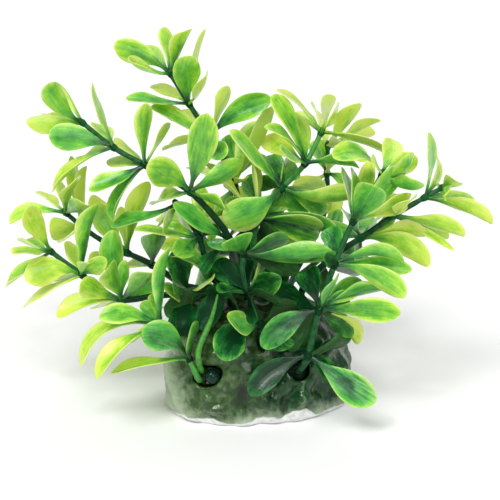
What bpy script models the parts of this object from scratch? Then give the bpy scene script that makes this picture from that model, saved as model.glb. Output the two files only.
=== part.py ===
"""A moulded bacopa for an aquarium: leafy plastic stems standing in the holes of a painted rock."""

import math

import bmesh
import bpy
import numpy as np
from mathutils import Vector
from mathutils.bvhtree import BVHTree

# Sizes in millimetres. The origin is the centre of the rock's underside, the viewer is at -Y.
METRES = 0.001
CLEARANCE = 0.42    # round a leaf, when it looks for room

# The rock
ROCK_HALF_WIDTH = 27.75
ROCK_HALF_DEPTH = 19.0
ROCK_HEIGHT = 32.5
ROCK_DROP = 0.08         # how much lower the right is than the left, as a share of the height
ROCK_SKEW = 0.13         # the front's left stands nearer to the viewer than its right
ROCK_RIGHT_DRAW = 0.075  # how far the right side is drawn in above the foot
ROCK_SQUARENESS = 3.0    # 2 is an oval, more is squarer
ROCK_PEAK = (-1.5, 2.0)
ROCK_SIDES = 20
ROCK_PROFILE = ((0.0, 0.91), (0.08, 0.97), (0.25, 1.0), (0.45, 0.99), (0.64, 0.955), (0.79, 0.88),
                (0.90, 0.74), (0.97, 0.50))
HOLE_DEPTH = 4.5
HOLE_SIDES = 8
LEFT_HOLE = (4.8, 3.3)
RIGHT_HOLE = (3.45, 3.45)
KNOB_RADIUS = 2.35
KNOB_PLACE = (1.6, -0.35, -0.4)    # from the left hole's mouth: across it, up it and out of it

# The two holes in the rock's front: where the front view shows them, and the way they point
FRONT_HOLES = {
    "left_hole": ((-12.9, -37.5), (-0.12, -0.86, 0.5)),
    "right_hole": ((14.8, -35.5), (0.12, -0.84, 0.53)),
}
TOP_HOLE_ROOM = 0.5     # round a stem that stands in the rock's top

# The stems
STEM_SIDES = 6
STEM_ROOT_RADIUS = 1.15
SLENDER_ROOT_RADIUS = 0.95
SLENDER_STEMS = ("hole", "slim", "thin")
STEM_TIP_RADIUS = 0.7
STEM_STEP = 10.6           # the longest piece of a stem between two rings
STEM_SEAT = 3.8         # how deep a stem stands in its hole
STEM_RISE = 2.0         # how far it leaves the hole straight
STEM_POINT = 2.2        # the pointed end past the last place
FRONT_STANDS = {"hole": (-2.45, -0.95), "slim": (-1.6, 1.55), "right": (0.3, 0.0)}

# The leaves. A leaf is a thin petiole that widens to a spoon-shaped blade.
LEAF_REACH = 18.0
LEAF_LEAST_REACH = 6.0      # of a leaf that the viewer sees as a point
LEAF_REACH_PER_SEEN = 1.8
LEAF_WIDTH_PER_REACH = 0.38
LEAF_MIN_WIDTH = 4.6
LEAF_MAX_WIDTH = 7.4
PETIOLE_WIDTH = 1.3
LEAF_THICKNESS = 0.75
LEAF_LEAST_SLOPE = 0.12     # a leaf that shows at full length still points this much to or from the viewer
# Along a leaf: the place of a ring, its fullness from the petiole's width to the blade's, its thickness
BLADE_RINGS = ((0.30, 0.0, 1.15), (0.64, 1.0, 1.0), (0.88, 0.70, 0.8))
COLLAR_WALL = 0.65
COLLAR_BORE_GAP = 0.45
COLLAR_HEIGHT = 2.2
COLLAR_SIDES = 5
SIDE_TURN = math.tau / COLLAR_SIDES
WIDEST_SIDE = math.radians(92.0)
LEAF_SPREAD = math.radians(34.0)

# The front view that places are read in: millimetres across and up from the picture's middle at the
# target's distance, and millimetres nearer to the viewer than the target.
VIEW_TILT = math.radians(20.0)
VIEW_DISTANCE = 600.0
LEAN_FROM = -20.0
LEAN = 0.22
RIGHT = Vector((1.0, 0.0, 0.0))
UP = Vector((0.0, math.sin(VIEW_TILT), math.cos(VIEW_TILT)))
NEAR = Vector((0.0, -math.cos(VIEW_TILT), math.sin(VIEW_TILT)))
ROCK_IN_VIEW = (2.85, -45.0)
TARGET = -RIGHT * ROCK_IN_VIEW[0] - UP * ROCK_IN_VIEW[1]

# Colours and finishes
ROCK_PAINT = (0.10, 0.13, 0.06, 1.0)
STEM_GREEN = (0.01, 0.07, 0.03, 1.0)
LEAF_GREEN = (0.13, 0.36, 0.05, 1.0)
KNOB_GREEN = (0.01, 0.05, 0.03, 1.0)

# Each stem: its seat, the places that it passes through (across, up, near), and its whorls. A seat is
# either the x and y of a hole in the rock's top, or one of the two holes in its front.
# A whorl sits on the place of that number. Its leaves are (across, up, toward, seen, bow): the tip's
# place, 1 toward the viewer or -1 away, the width that the viewer sees, and how far the middle lies
# to the left of the straight way from the stem to the tip. A minus width is turned the other way.
STEMS = {
    "arch": {
        "seat": (-5.0, 2.0),
        "way": ((-4.0, -9.0, 9), (-6.5, 3.5, 11), (-11.0, 10.3, 12), (-18.0, 17.5, 13), (-25.0, 21.8, 12),
                (-31.5, 25.5, 10), (-41.0, 30.8, 6), (-50.3, 38.2, 2)),
        "whorls": {
            1: ((-22.5, 14.6, 1, 5.4, 0.8), (-3.0, -6.0, 1, 3.0, 0.0), (-14.0, -6.5, 1, 4.0, 0.0),
                (1.0, 13.0, -1, 4.0, 0.0), (-18.5, -2.5, -1, 5.0, 0.0)),
            3: ((-31.3, 24.4, 1, 9.0, -1.8), (-12.8, 41.0, 1, 9.0, 0.0), (-28.7, 14.7, -1, 3.6, 0.0),
                (-2.0, 26.0, -1, 4.6, 0.0), (-6.5, 12.3, 1, 1.8, 0.0)),
            5: ((-31.2, 44.0, 1, 4.6, 0.8), (-24.3, 38.0, -1, 1.4, 0.0), (-40.0, 33.4, -1, 2.6, 0.0),
                (-42.2, 27.6, -1, 4.4, 0.0), (-48.3, 17.8, 1, 5.2, 0.0), (-41.5, 8.9, 1, 3.4, -2.0)),
            6: ((-60.4, 34.0, 1, 8.2, -1.3), (-47.8, 50.0, 1, 1.8, 0.0), (-46.4, 38.8, -1, 4.2, 0.0),
                (-50.7, 27.6, -1, 2.4, 0.0), (-59.9, 17.6, 1, 2.2, -2.0)),
            7: ((-60.5, 50.6, 1, 6.9, 1.8), (-56.7, 49.8, -1, 1.2, 0.0), (-67.0, 38.0, 1, 6.0, 0.0),
                (-61.5, 41.2, -1, 2.5, 0.0)),
        },
    },
    "tall": {
        "seat": (-1.0, 8.0),
        "way": ((0.5, -6.0, 0), (-2.0, 8.0, 0), (-4.8, 20.0, 1), (-7.5, 26.7, 1), (-12.0, 34.0, 0),
                (-18.4, 44.0, -1), (-24.0, 53.0, -3)),
        "whorls": {
            2: ((6.8, 43.2, -1, 4.6, 0.0), (-18.8, 25.2, -1, 2.2, 0.0), (-1.0, 30.0, -1, 3.0, 0.0),
                (-2.4, 21.6, 1, 2.2, 0.0), (-9.0, 7.0, -1, 6.0, 0.0)),
            4: ((-29.8, 43.0, 1, 4.4, 0.0), (-20.6, 42.6, -1, 5.0, 0.0), (-26.0, 30.8, -1, 2.2, 0.0),
                (-8.8, 26.9, 1, 6.6, 0.0), (-6.6, 49.0, -1, 3.4, 0.0), (6.4, 45.4, 1, 7.4, 2.2)),
            5: ((-17.3, 58.0, 1, 8.2, 1.4), (-13.4, 66.3, -1, 1.6, 1.0), (-13.5, 52.5, 1, 0.9, -1.0),
                (-37.0, 46.0, 1, 3.4, 0.6), (-29.3, 49.8, -1, 4.2, -0.5)),
            6: ((-41.0, 61.3, 1, 7.2, -1.5), (-36.5, 57.0, 1, 2.5, 1.2), (-31.5, 61.7, -1, 5.0, 0.0),
                (-25.5, 66.5, -1, 3.8, 0.0), (-18.3, 66.5, 1, 3.2, 0.5)),
        },
    },
    "centre": {
        "seat": (4.0, 3.0),
        "way": ((3.0, -8.0, 6), (1.0, 2.0, 7), (2.8, 9.5, 8), (9.6, 18.5, 8), (16.6, 26.0, 6),
                (21.4, 35.3, 3), (23.2, 38.8, 2)),
        "whorls": {
            2: ((-13.0, 26.2, 1, 1.9, 0.0), (-7.7, 20.3, -1, 3.4, 0.0), (0.7, 27.4, -1, 3.3, 0.0),
                (-15.6, 8.6, 1, 2.9, 0.0), (22.0, 7.0, 1, 3.2, 0.8), (28.5, 3.0, 1, 4.6, 3.4),
                (-2.0, -3.5, -1, 6.0, 0.0), (13.5, 1.0, -1, 5.5, 0.0), (8.0, -5.5, -1, 6.5, 0.0)),
            3: ((-5.6, 36.3, 1, 4.4, 0.0), (3.2, 28.9, -1, 3.4, 0.0), (13.0, 26.4, -1, 4.6, 1.5),
                (22.1, 18.8, -1, 4.0, 0.0), (33.0, 17.2, 1, 5.4, -2.0), (-7.8, 8.8, 1, 10.6, 1.2)),
            4: ((6.7, 46.5, 1, 5.2, -1.3), (13.2, 41.2, -1, 4.6, -1.0), (4.8, 37.4, 1, 4.2, -1.6),
                (3.9, 33.8, -1, 7.0, 0.0), (33.2, 25.2, 1, 2.8, 1.2), (9.8, 29.2, 1, 3.2, 0.0)),
            5: ((22.4, 45.6, 1, 3.8, -1.0), (26.7, 43.2, -1, 2.0, 0.0), (18.8, 43.4, -1, 2.0, -0.8),
                (41.5, 29.0, 1, 2.2, 1.5), (8.1, 48.4, 1, 2.1, -1.2), (14.0, 42.0, -1, 3.6, 0.0)),
        },
    },
    "thin": {
        "seat": (9.0, 10.0),
        "way": ((14.0, -6.0, -11), (21.0, 7.0, -16), (23.2, 17.0, -18), (23.1, 23.0, -18),
                (23.4, 31.3, -17)),
        "whorls": {
            3: ((17.0, 27.4, -1, 1.5, -1.5), (28.6, 27.2, 1, 1.5, 1.5), (22.0, 12.5, -1, 4.0, 0.0),
                (12.0, 15.5, -1, 5.5, 0.0)),
            4: ((32.9, 44.0, 1, 4.8, 0.0), (39.0, 39.4, 1, 3.9, 0.0), (37.3, 34.8, -1, 3.3, 0.6),
                (28.7, 32.4, 1, 2.0, 0.0), (20.0, 38.0, -1, 3.4, 0.0)),
        },
    },
    "right": {
        "seat": "right_hole",
        "way": ((17.5, -31.4, 25), (20.6, -18.0, 29), (25.4, -4.3, 29), (31.0, 8.6, 26), (36.0, 16.5, 23),
                (39.6, 22.8, 20)),
        "whorls": {
            0: ((0.0, -43.6, 1, 7.4, -1.6), (37.6, -45.8, 1, 9.2, 0.0), (23.0, -26.4, -1, 1.5, -1.0),
                (29.0, -25.6, -1, 4.2, 0.0)),
            1: ((4.0, -29.5, 1, 7.6, -1.8), (45.2, -19.0, 1, 7.2, 0.8), (32.4, -28.0, -1, 5.2, 2.0),
                (40.3, -11.2, -1, 3.8, 1.0), (26.2, -8.3, 1, 2.2, 0.0), (9.0, -14.2, -1, 5.5, 0.0)),
            2: ((46.7, -3.2, 1, 3.5, 2.8), (46.8, -14.0, 1, 6.6, 2.4), (22.2, -2.2, 1, 4.8, 0.0),
                (33.0, -7.5, -1, 4.0, 0.0)),
            3: ((38.4, 19.2, 1, 9.2, 0.0), (28.2, 25.0, -1, 2.0, 0.0), (31.4, 24.6, -1, 3.0, 0.0),
                (48.6, 16.6, -1, 6.0, 0.0), (42.8, 12.4, -1, 2.2, 0.0)),
            5: ((51.9, 19.8, 1, 3.6, -2.0), (47.8, 29.0, 1, 3.4, -2.8), (43.4, 33.6, -1, 6.4, 0.0),
                (24.8, 27.6, 1, 5.4, -3.4), (46.8, 25.8, -1, 4.6, 0.0), (37.0, 26.8, 1, 2.4, 0.0)),
        },
    },
    "far": {
        "seat": (11.5, 1.0),
        "way": ((17.5, -9.0, 14), (26.0, -1.2, 17), (33.4, 3.7, 18), (43.3, 10.4, 17), (52.5, 15.8, 15),
                (57.8, 18.7, 14)),
        "whorls": {
            2: ((53.0, 4.8, -1, 4.2, 0.7), (54.0, -4.6, 1, 6.6, 2.8), (28.0, 12.8, -1, 2.5, 0.0),
                (38.5, 9.6, -1, 2.6, 0.0), (31.5, -5.5, -1, 3.5, 0.0), (22.5, 7.0, -1, 5.5, 0.0)),
            3: ((64.5, 4.3, 1, 4.5, 0.8), (59.4, 3.9, -1, 2.0, 0.0), (48.6, 15.8, 1, 1.3, 0.0),
                (40.5, 18.0, -1, 4.0, 0.0)),
            4: ((54.2, 35.3, 1, 2.8, -0.9), (56.2, 29.6, -1, 2.4, -1.5), (72.8, 7.9, 1, 3.9, 1.0),
                (66.8, 13.6, -1, 2.6, 1.2)),
            5: ((62.3, 20.9, 1, 4.8, 0.0), (55.6, 20.4, -1, 1.2, 0.0), (58.8, 16.2, 1, 1.2, 0.0)),
        },
    },
    "front": {
        "seat": (0.6, -15.3),
        "way": ((3.2, -22.3, 26), (-0.8, -12.8, 27), (-2.3, -6.0, 26.0), (-1.8, -1.3, 24)),
        "whorls": {
            0: ((-6.4, -19.6, 1, 5.4, 1.8), (-7.5, -33.2, 1, 9.6, -3.0), (13.0, -29.5, 1, 4.0, 0.0),
                (13.5, -15.5, -1, 5.0, 0.0)),
            1: ((9.2, -8.2, 1, 7.2, 0.0), (0.8, -4.4, -1, 1.3, 0.0), (-8.8, -12.0, 1, 1.3, 0.0),
                (6.0, -2.2, -1, 2.4, 0.0), (2.0, -21.0, 1, 3.0, 0.0), (-9.5, -7.0, -1, 5.5, 0.0),
                (8.5, -14.5, 1, 4.5, 0.0)),
            3: ((-4.0, 4.2, 1, 9.4, 0.0), (25.0, -0.8, 1, 6.4, -0.8),
                (11.4, 3.4, -1, 5.4, 0.0)),
        },
    },
    "left": {
        "seat": (-11.0, 4.0),
        "way": ((-18.5, -11.0, 2), (-29.4, -4.4, 1), (-37.0, -0.8, 0), (-45.0, 3.2, -1), (-50.6, 7.2, -1),
                (-55.3, 11.2, -1)),
        "whorls": {
            1: ((-29.0, 5.2, 1, 7.0, 0.0), (-38.3, -5.0, -1, 2.2, 0.0), (-17.5, -3.0, 1, 5.4, 0.0),
                (-25.0, -12.0, -1, 3.5, 0.0)),
            2: ((-30.3, 20.5, -1, 5.3, 1.2), (-38.8, 12.6, -1, 3.2, 0.0), (-44.0, -5.0, -1, 3.0, 0.0)),
            4: ((-49.8, 25.3, -1, 2.5, 0.0), (-54.0, 28.0, -1, 5.2, 0.0), (-60.2, 5.8, 1, 6.9, 0.0),
                (-43.4, 15.2, -1, 8.2, 0.0), (-56.2, 2.8, -1, 1.9, 0.0)),
            5: ((-62.9, 17.6, -1, 1.9, 0.0), (-56.3, 20.0, -1, 2.8, 0.0), (-72.3, 8.1, 1, 4.4, -1.8),
                (-52.0, 21.6, 1, 2.2, 1.0), (-49.8, 14.0, 1, 5.2, 0.0)),
        },
    },
    "low": {
        "seat": (-13.0, -2.5),
        "way": ((-18.3, -12.8, 11), (-28.0, -13.8, 12), (-38.5, -14.9, 12), (-45.0, -11.6, 12),
                (-50.4, -7.5, 12), (-59.8, -0.4, 11)),
        "whorls": {
            0: ((-23.8, -8.8, 1, 4.2, 0.0), (-25.2, -12.3, 1, 1.3, 0.0), (-11.6, -9.0, 1, 1.1, 0.0),
                (-25.0, -16.6, -1, 3.4, 0.0), (-20.4, -26.4, 1, 8.6, 0.0)),
            2: ((-41.2, 6.0, 1, 6.9, 1.2), (-58.0, -20.1, 1, 4.4, -1.6), (-42.6, -4.0, 1, 5.6, 0.0),
                (-46.6, -16.9, -1, 1.9, 0.0), (-28.9, -6.0, 1, 4.8, 0.0), (-31.5, -11.0, -1, 1.4, 0.0)),
            4: ((-46.1, 13.9, 1, 4.1, 1.3), (-54.0, 2.8, -1, 4.1, 0.5), (-67.2, -9.2, 1, 8.8, -2.4),
                (-60.6, -9.0, -1, 2.2, 0.0), (-68.7, -16.8, 1, 2.1, -0.7), (-44.5, -2.0, -1, 2.8, 0.0)),
            5: ((-68.9, 3.2, -1, 1.9, 0.0), (-71.0, -0.4, 1, 2.5, 0.0), (-67.4, 12.4, 1, 6.2, 0.0),
                (-73.5, -10.5, -1, 3.2, 0.0)),
        },
    },
    "hole": {
        "seat": "left_hole",
        "way": ((-18.3, -32.6, 24.6), (-22.5, -27.2, 28), (-27.0, -22.8, 29)),
        "whorls": {
            0: ((-32.6, -26.0, 1, 9.2, -2.6), (-41.7, -37.2, 1, 2.6, -1.0), (-14.0, -20.8, -1, 1.8, 0.8)),
            2: ((-45.2, -20.4, 1, 5.9, -2.6), (-28.0, -13.3, -1, 2.8, 0.0), (-24.4, 1.2, 1, 3.3, 1.0),
                (-51.2, -34.8, -1, 4.0, -6.0), (-46.0, -38.4, 1, 4.2, -2.5), (-35.8, -27.0, -1, 1.9, 0.0)),
        },
    },
    "slim": {
        "seat": "left_hole",
        "way": ((-15.5, -32.0, 29.4), (-15.0, -28.6, 29.4), (-12.8, -23.6, 28.0), (-11.3, -20.2, 26.0),
                (-10.0, -15.6, 22.7), (-8.7, -10.4, 19.5)),
        "whorls": {
            5: ((-24.6, 2.9, 1, 2.6, -1.0), (-4.6, -15.5, -1, 1.3, 0.0), (-3.4, -17.0, 1, 1.6, 0.0),
                (-17.0, -15.0, -1, 5.5, 0.0)),
        },
    },
    "short": {
        "seat": (-8.0, -4.5),
        "way": ((-12.0, -7.0, 14), (-15.2, 3.5, 14), (-19.0, 9.8, 12), (-22.0, 13.8, 10)),
        "whorls": {
            1: ((-34.6, 6.8, 1, 2.8, 0.0), (-22.6, -1.0, 1, 6.4, 0.0),
                (-5.5, 11.5, -1, 5.0, 0.0), (-13.0, -8.5, -1, 5.5, 0.0)),
            3: ((-41.8, 7.5, 1, 3.8, 1.0), (-27.6, 7.2, -1, 1.6, 0.0), (-25.0, 5.8, 1, 1.7, 0.0),
                (-19.0, 6.4, -1, 3.4, 0.0)),
        },
    },
    "back_left": {
        "seat": (-4.0, 13.0),
        "way": ((-7.0, -8.0, -12), (-12.0, -1.0, -22), (-15.0, 6.0, -31)),
        "whorls": {
            1: ((-27.0, 2.0, -1, 5.0, 0.0), (-11.0, 15.0, -1, 6.0, 0.0), (3.0, 0.0, -1, 5.0, 0.0),
                (-16.0, -15.0, -1, 6.0, 0.0), (-2.0, -12.5, 1, 6.0, 0.0)),
            2: ((-28.0, 10.0, -1, 5.0, 0.0), (-15.0, 20.0, -1, 6.0, 0.0), (-2.0, 9.0, -1, 5.0, 0.0),
                (-9.0, -6.0, -1, 6.0, 0.0), (-23.0, -4.0, -1, 6.0, 0.0)),
        },
    },
    "back_right": {
        "seat": (5.5, 14.0),
        "way": ((13.0, -9.0, -11), (21.5, -2.0, -20), (25.0, 5.0, -29)),
        "whorls": {
            1: ((9.0, 4.0, -1, 5.0, 0.0), (27.0, 12.0, -1, 6.0, 0.0), (36.0, -4.0, -1, 5.0, 0.0),
                (24.0, -16.0, -1, 6.0, 0.0)),
            2: ((12.0, 10.0, -1, 5.0, 0.0), (26.0, 19.0, -1, 6.0, 0.0), (38.0, 8.0, -1, 5.0, 0.0),
                (34.0, -6.0, -1, 6.0, 0.0)),
        },
    },
}


def view_point(across, up, near):
    """The place that the front view shows at (across, up). High places come forward, so that the
    plant stands upright and doesn't lie back."""
    near += LEAN * max(0.0, up - LEAN_FROM)
    shrink = (VIEW_DISTANCE - near) / VIEW_DISTANCE
    return TARGET + RIGHT * (across * shrink) + UP * (up * shrink) + NEAR * near


def clear_scene():
    """Remove whatever the file holds."""
    for thing in list(bpy.data.objects):
        bpy.data.objects.remove(thing, do_unlink=True)


def make_material(name, colour, roughness):
    """A plain painted or moulded plastic."""
    material = bpy.data.materials.new(name)
    material.use_nodes = True
    material.diffuse_color = colour
    shader = material.node_tree.nodes["Principled BSDF"]
    shader.inputs["Base Color"].default_value = colour
    shader.inputs["Roughness"].default_value = roughness
    shader.inputs["Metallic"].default_value = 0.0
    return material


def add_object(name, corners, faces, colour, roughness):
    """One closed body, from corners in millimetres, with its faces turned outward."""
    body = bmesh.new()
    verts = [body.verts.new(Vector(corner) * METRES) for corner in corners]
    for face in faces:
        body.faces.new([verts[i] for i in face])
    bmesh.ops.recalc_face_normals(body, faces=body.faces)
    mesh = bpy.data.meshes.new(name)
    body.to_mesh(mesh)
    body.free()
    thing = bpy.data.objects.new(name, mesh)
    thing.data.materials.append(make_material(name + "_finish", colour, roughness))
    bpy.context.scene.collection.objects.link(thing)
    return thing


def perpendicular(direction):
    """Any unit direction square to the given one."""
    other = RIGHT if abs(direction.dot(RIGHT)) < 0.8 else NEAR
    return direction.cross(other).normalized()


def band_faces(rings):
    """Four-sided faces between each ring of corner numbers and the next."""
    faces = []
    for low, high in zip(rings, rings[1:]):
        count = len(low)
        for i in range(count):
            j = (i + 1) % count
            faces.append((low[i], low[j], high[j], high[i]))
    return faces


def rock_outline(angle):
    """Distance from the middle to the rock's widest outline, a rounded rectangle with dents."""
    along = abs(math.cos(angle) / ROCK_HALF_WIDTH) ** ROCK_SQUARENESS
    deep = abs(math.sin(angle) / ROCK_HALF_DEPTH) ** ROCK_SQUARENESS
    dents = 0.025 * math.sin(3 * angle + 0.6) + 0.03 * math.cos(7 * angle + 1.0)
    return (along + deep) ** (-1 / ROCK_SQUARENESS) * (1 + dents)


def rock_corner(angle, height, share):
    """One corner of the rock: the outline drawn in toward the top, with lumps that lean with height.
    The rock is lower and narrower at its right."""
    above_foot = min(1.0, 3 * height)
    lumps = 0.045 * math.sin(4 * angle + 5 * height) + 0.035 * math.sin(9 * angle - 7 * height)
    draw = ROCK_RIGHT_DRAW * max(0.0, math.cos(angle))
    reach = rock_outline(angle) * share * (1 + (lumps - draw) * above_foot)
    level = ROCK_HEIGHT * height * (1 - ROCK_DROP * share * math.cos(angle))
    across = reach * math.cos(angle)
    return (across, reach * math.sin(angle) + ROCK_SKEW * across, level)


def rock_shape():
    """Corners and faces of the rock before its holes are cut."""
    corners = []
    rings = []
    for height, share in ROCK_PROFILE:
        rings.append([len(corners) + i for i in range(ROCK_SIDES)])
        for i in range(ROCK_SIDES):
            corners.append(rock_corner(math.tau * i / ROCK_SIDES, height, share))
    faces = band_faces(rings)
    faces.append(tuple(rings[0]))
    top = len(corners)
    corners.append((*ROCK_PEAK, ROCK_HEIGHT))
    last = rings[-1]
    for i in range(ROCK_SIDES):
        faces.append((last[i], last[(i + 1) % ROCK_SIDES], top))
    return corners, faces


def tree_of(corners, faces):
    """A search tree of a shape, with the two far corners of the box around it."""
    tree = BVHTree.FromPolygons([tuple(c) for c in corners], faces)
    cloud = np.array([tuple(c) for c in corners])
    return tree, cloud.min(axis=0), cloud.max(axis=0)


def prism(centre, direction, half_sizes, length, sides):
    """An oval prism along a direction, its first end at the centre."""
    across = direction.cross(UP)
    across = across.normalized() if across.length > 0.2 else perpendicular(direction)
    upward = across.cross(direction)
    corners = []
    for end in (0.0, length):
        for i in range(sides):
            turn = math.tau * (i + 0.5) / sides
            sideways = across * (half_sizes[0] * math.cos(turn)) + upward * (half_sizes[1] * math.sin(turn))
            corners.append(centre + direction * end + sideways)
    low = list(range(sides))
    high = [sides + i for i in low]
    return corners, band_faces([low, high]) + [tuple(low), tuple(high)]


def hole_mouths(rock):
    """Where each stem leaves the rock and which way it points there."""
    eye = TARGET + NEAR * VIEW_DISTANCE
    mouths = {}
    for side, ((across, up), out) in FRONT_HOLES.items():
        ray = (view_point(across, up, 0.0) - eye).normalized()
        place = rock.ray_cast(eye, ray)[0]
        mouths[side] = (place, Vector(out).normalized())
    for name, stem in STEMS.items():
        if isinstance(stem["seat"], str):
            continue
        x, y = stem["seat"]
        place = rock.ray_cast(Vector((x, y, 2 * ROCK_HEIGHT)), Vector((0.0, 0.0, -1.0)))[0]
        lean = (view_point(*stem["way"][0]) - place).normalized()
        mouths[name] = (place, (lean + Vector((0.0, 0.0, 1.0))).normalized())
    return mouths


def stem_mouth(name, mouths):
    """The mouth of one stem. The two in the left hole stand side by side, clear of the knob."""
    seat = STEMS[name]["seat"]
    if not isinstance(seat, str):
        return mouths[name]
    place, out = mouths[seat]
    sideways, upward = FRONT_STANDS[name]
    across = UP.cross(out).normalized()
    return place + across * sideways + out.cross(across) * upward, out


def smooth_way(points):
    """Rings along a smooth curve through the points, and the number of the ring on each point."""
    rings = [points[0]]
    marks = [0]
    for i in range(len(points) - 1):
        start, end = points[i], points[i + 1]
        before = points[max(i - 1, 0)]
        after = points[min(i + 2, len(points) - 1)]
        leave = (end - before) * 0.5
        arrive = (after - start) * 0.5
        steps = 1 if i == 0 else max(1, round((end - start).length / STEM_STEP))
        for k in range(1, steps + 1):
            u = k / steps
            blend = (2 * u**3 - 3 * u**2 + 1, u**3 - 2 * u**2 + u, 3 * u**2 - 2 * u**3, u**3 - u**2)
            rings.append(start * blend[0] + leave * blend[1] + end * blend[2] + arrive * blend[3])
        marks.append(len(rings) - 1)
    return rings, marks


def stem_course(name, mouths):
    """Ring centres, radii and directions of a stem, and the ring number of each place on its way."""
    mouth, out = stem_mouth(name, mouths)
    points = [mouth - out * STEM_SEAT, mouth + out * STEM_RISE]
    points += [view_point(*place) for place in STEMS[name]["way"]]
    rings, marks = smooth_way(points)
    ways = []
    for i in range(len(rings)):
        ways.append((rings[min(i + 1, len(rings) - 1)] - rings[max(i - 1, 0)]).normalized())
    lengths = [0.0]
    for a, b in zip(rings, rings[1:]):
        lengths.append(lengths[-1] + (b - a).length)
    root_radius = SLENDER_ROOT_RADIUS if name in SLENDER_STEMS else STEM_ROOT_RADIUS
    radii = []
    for length in lengths:
        radii.append(root_radius + (STEM_TIP_RADIUS - root_radius) * length / lengths[-1])
    return {"rings": rings, "ways": ways, "radii": radii, "marks": marks[2:]}


def stem_shape(course):
    """A tapered tube along a stem's course, with a flat root and a pointed tip."""
    side = perpendicular(course["ways"][0])
    corners = []
    rings = []
    for centre, way, radius in zip(course["rings"], course["ways"], course["radii"]):
        side = (side - way * side.dot(way)).normalized()
        other = way.cross(side)
        rings.append([len(corners) + i for i in range(STEM_SIDES)])
        for i in range(STEM_SIDES):
            turn = math.tau * i / STEM_SIDES
            corners.append(centre + (side * math.cos(turn) + other * math.sin(turn)) * radius)
    faces = band_faces(rings)
    faces.append(tuple(rings[0]))
    tip = len(corners)
    corners.append(course["rings"][-1] + course["ways"][-1] * STEM_POINT)
    last = rings[-1]
    for i in range(STEM_SIDES):
        faces.append((last[i], last[(i + 1) % STEM_SIDES], tip))
    return corners, faces


def leaf_plan(node, near, spec):
    """The tip, width, facing and bow of a leaf, from the place and width that the viewer sees."""
    across, up, toward, seen, bow = spec
    flat = view_point(across, up, near)
    length = (flat - node).length
    reach = min(LEAF_REACH, LEAF_REACH_PER_SEEN * length + LEAF_LEAST_REACH)
    depth = math.sqrt(max(reach**2 - length**2, (LEAF_LEAST_SLOPE * length) ** 2))
    tip_near = near + toward * depth
    tip = view_point(across, up, tip_near)
    natural = LEAF_WIDTH_PER_REACH * (tip - node).length
    width = max(abs(seen), min(max(natural, LEAF_MIN_WIDTH), LEAF_MAX_WIDTH))
    facing = math.copysign(math.acos(abs(seen) / width), seen)
    return {"root": node, "tip": tip, "width": width, "facing": facing, "bow": bow}


def leaf_rings(plan, change, swell):
    """Rings of four corners along a leaf, then its tip. A change moves it clear of its neighbours."""
    near_shift, turn, lift, slide, share = change
    root = plan["root"]
    chord = plan["tip"] - root
    left = NEAR.cross(chord).normalized()
    tip = root + chord * share + NEAR * near_shift + left * slide
    middle = (root + tip) / 2 + left * plan["bow"] + NEAR * lift
    bend = middle * 2 - (root + tip) / 2
    rings = []
    for u, fullness, thickness in BLADE_RINGS:
        centre = root * (1 - u) ** 2 + bend * (2 * u * (1 - u)) + tip * u**2
        way = ((bend - root) * (1 - u) + (tip - bend) * u).normalized()
        flat = NEAR.cross(way).normalized()
        facing = plan["facing"] + turn
        broad = flat * math.cos(facing) + way.cross(flat) * math.sin(facing)
        thin = way.cross(broad)
        half = (PETIOLE_WIDTH + (plan["width"] - PETIOLE_WIDTH) * fullness) / 2 + swell
        deep = LEAF_THICKNESS * thickness / 2 + swell
        rings.append([centre + broad * (half * a) + thin * (deep * b)
                      for a, b in ((1, 1), (-1, 1), (-1, -1), (1, -1))])
    end = tip + (tip - bend).normalized() * swell
    return rings, end


def leaf_shape(rings, end):
    """A closed shape of a leaf's rings and tip, for looking for contact."""
    corners = [corner for ring in rings for corner in ring] + [end]
    numbers = [[4 * k + i for i in range(4)] for k in range(len(rings))]
    faces = band_faces(numbers) + [tuple(numbers[0])]
    last = numbers[-1]
    for i in range(4):
        faces.append((last[i], last[(i + 1) % 4], len(corners) - 1))
    return corners, faces


def touches(shape, obstacles):
    """Whether a shape's faces cross those of any obstacle."""
    tree, low, high = tree_of(*shape)
    for other, other_low, other_high in obstacles:
        if np.all(low < other_high) and np.all(other_low < high) and tree.overlap(other):
            return True
    return False


def leaf_changes():
    """Small changes to a leaf's depth, turn, arch, side and length, the least first."""
    changes = []
    for near_shift in (0.0, -2.0, 2.0, -4.0, 4.0, -6.5, 6.5, -9.0, 9.0, -12.0, 12.0):
        for turn in (0.0, 0.3, -0.3, 0.65, -0.65):
            for lift in (0.0, 2.5, -2.5, 5.0, -5.0):
                for slide in (0.0, 1.2, -1.2):
                    for share in (1.0, 0.88):
                        effort = abs(near_shift) / 3 + abs(turn) * 2 + abs(lift) / 4 + abs(slide) / 1.5
                        changes.append((effort + (1 - share) * 20, (near_shift, turn, lift, slide, share)))
    changes.sort(key=lambda pair: pair[0])
    return [change for effort, change in changes]


def stalk_start(plan, rings):
    """A small ring where a leaf leaves its collar, for looking for contact."""
    out = (sum(rings[0], Vector()) / 4 - plan["root"]).normalized()
    centre = plan["root"] + out * (STEM_ROOT_RADIUS + COLLAR_BORE_GAP + COLLAR_WALL)
    return [centre + (corner - sum(rings[0], Vector()) / 4) * 1.5 for corner in rings[0]]


def settle_leaf(plan, changes, own, foreign):
    """The first change that keeps a leaf clear of everything, or None."""
    for change in changes:
        rings, end = leaf_rings(plan, change, CLEARANCE)
        if touches(leaf_shape(rings, end), own):
            continue
        if not touches(leaf_shape([stalk_start(plan, rings)] + rings, end), foreign):
            return change
    return None


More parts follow.
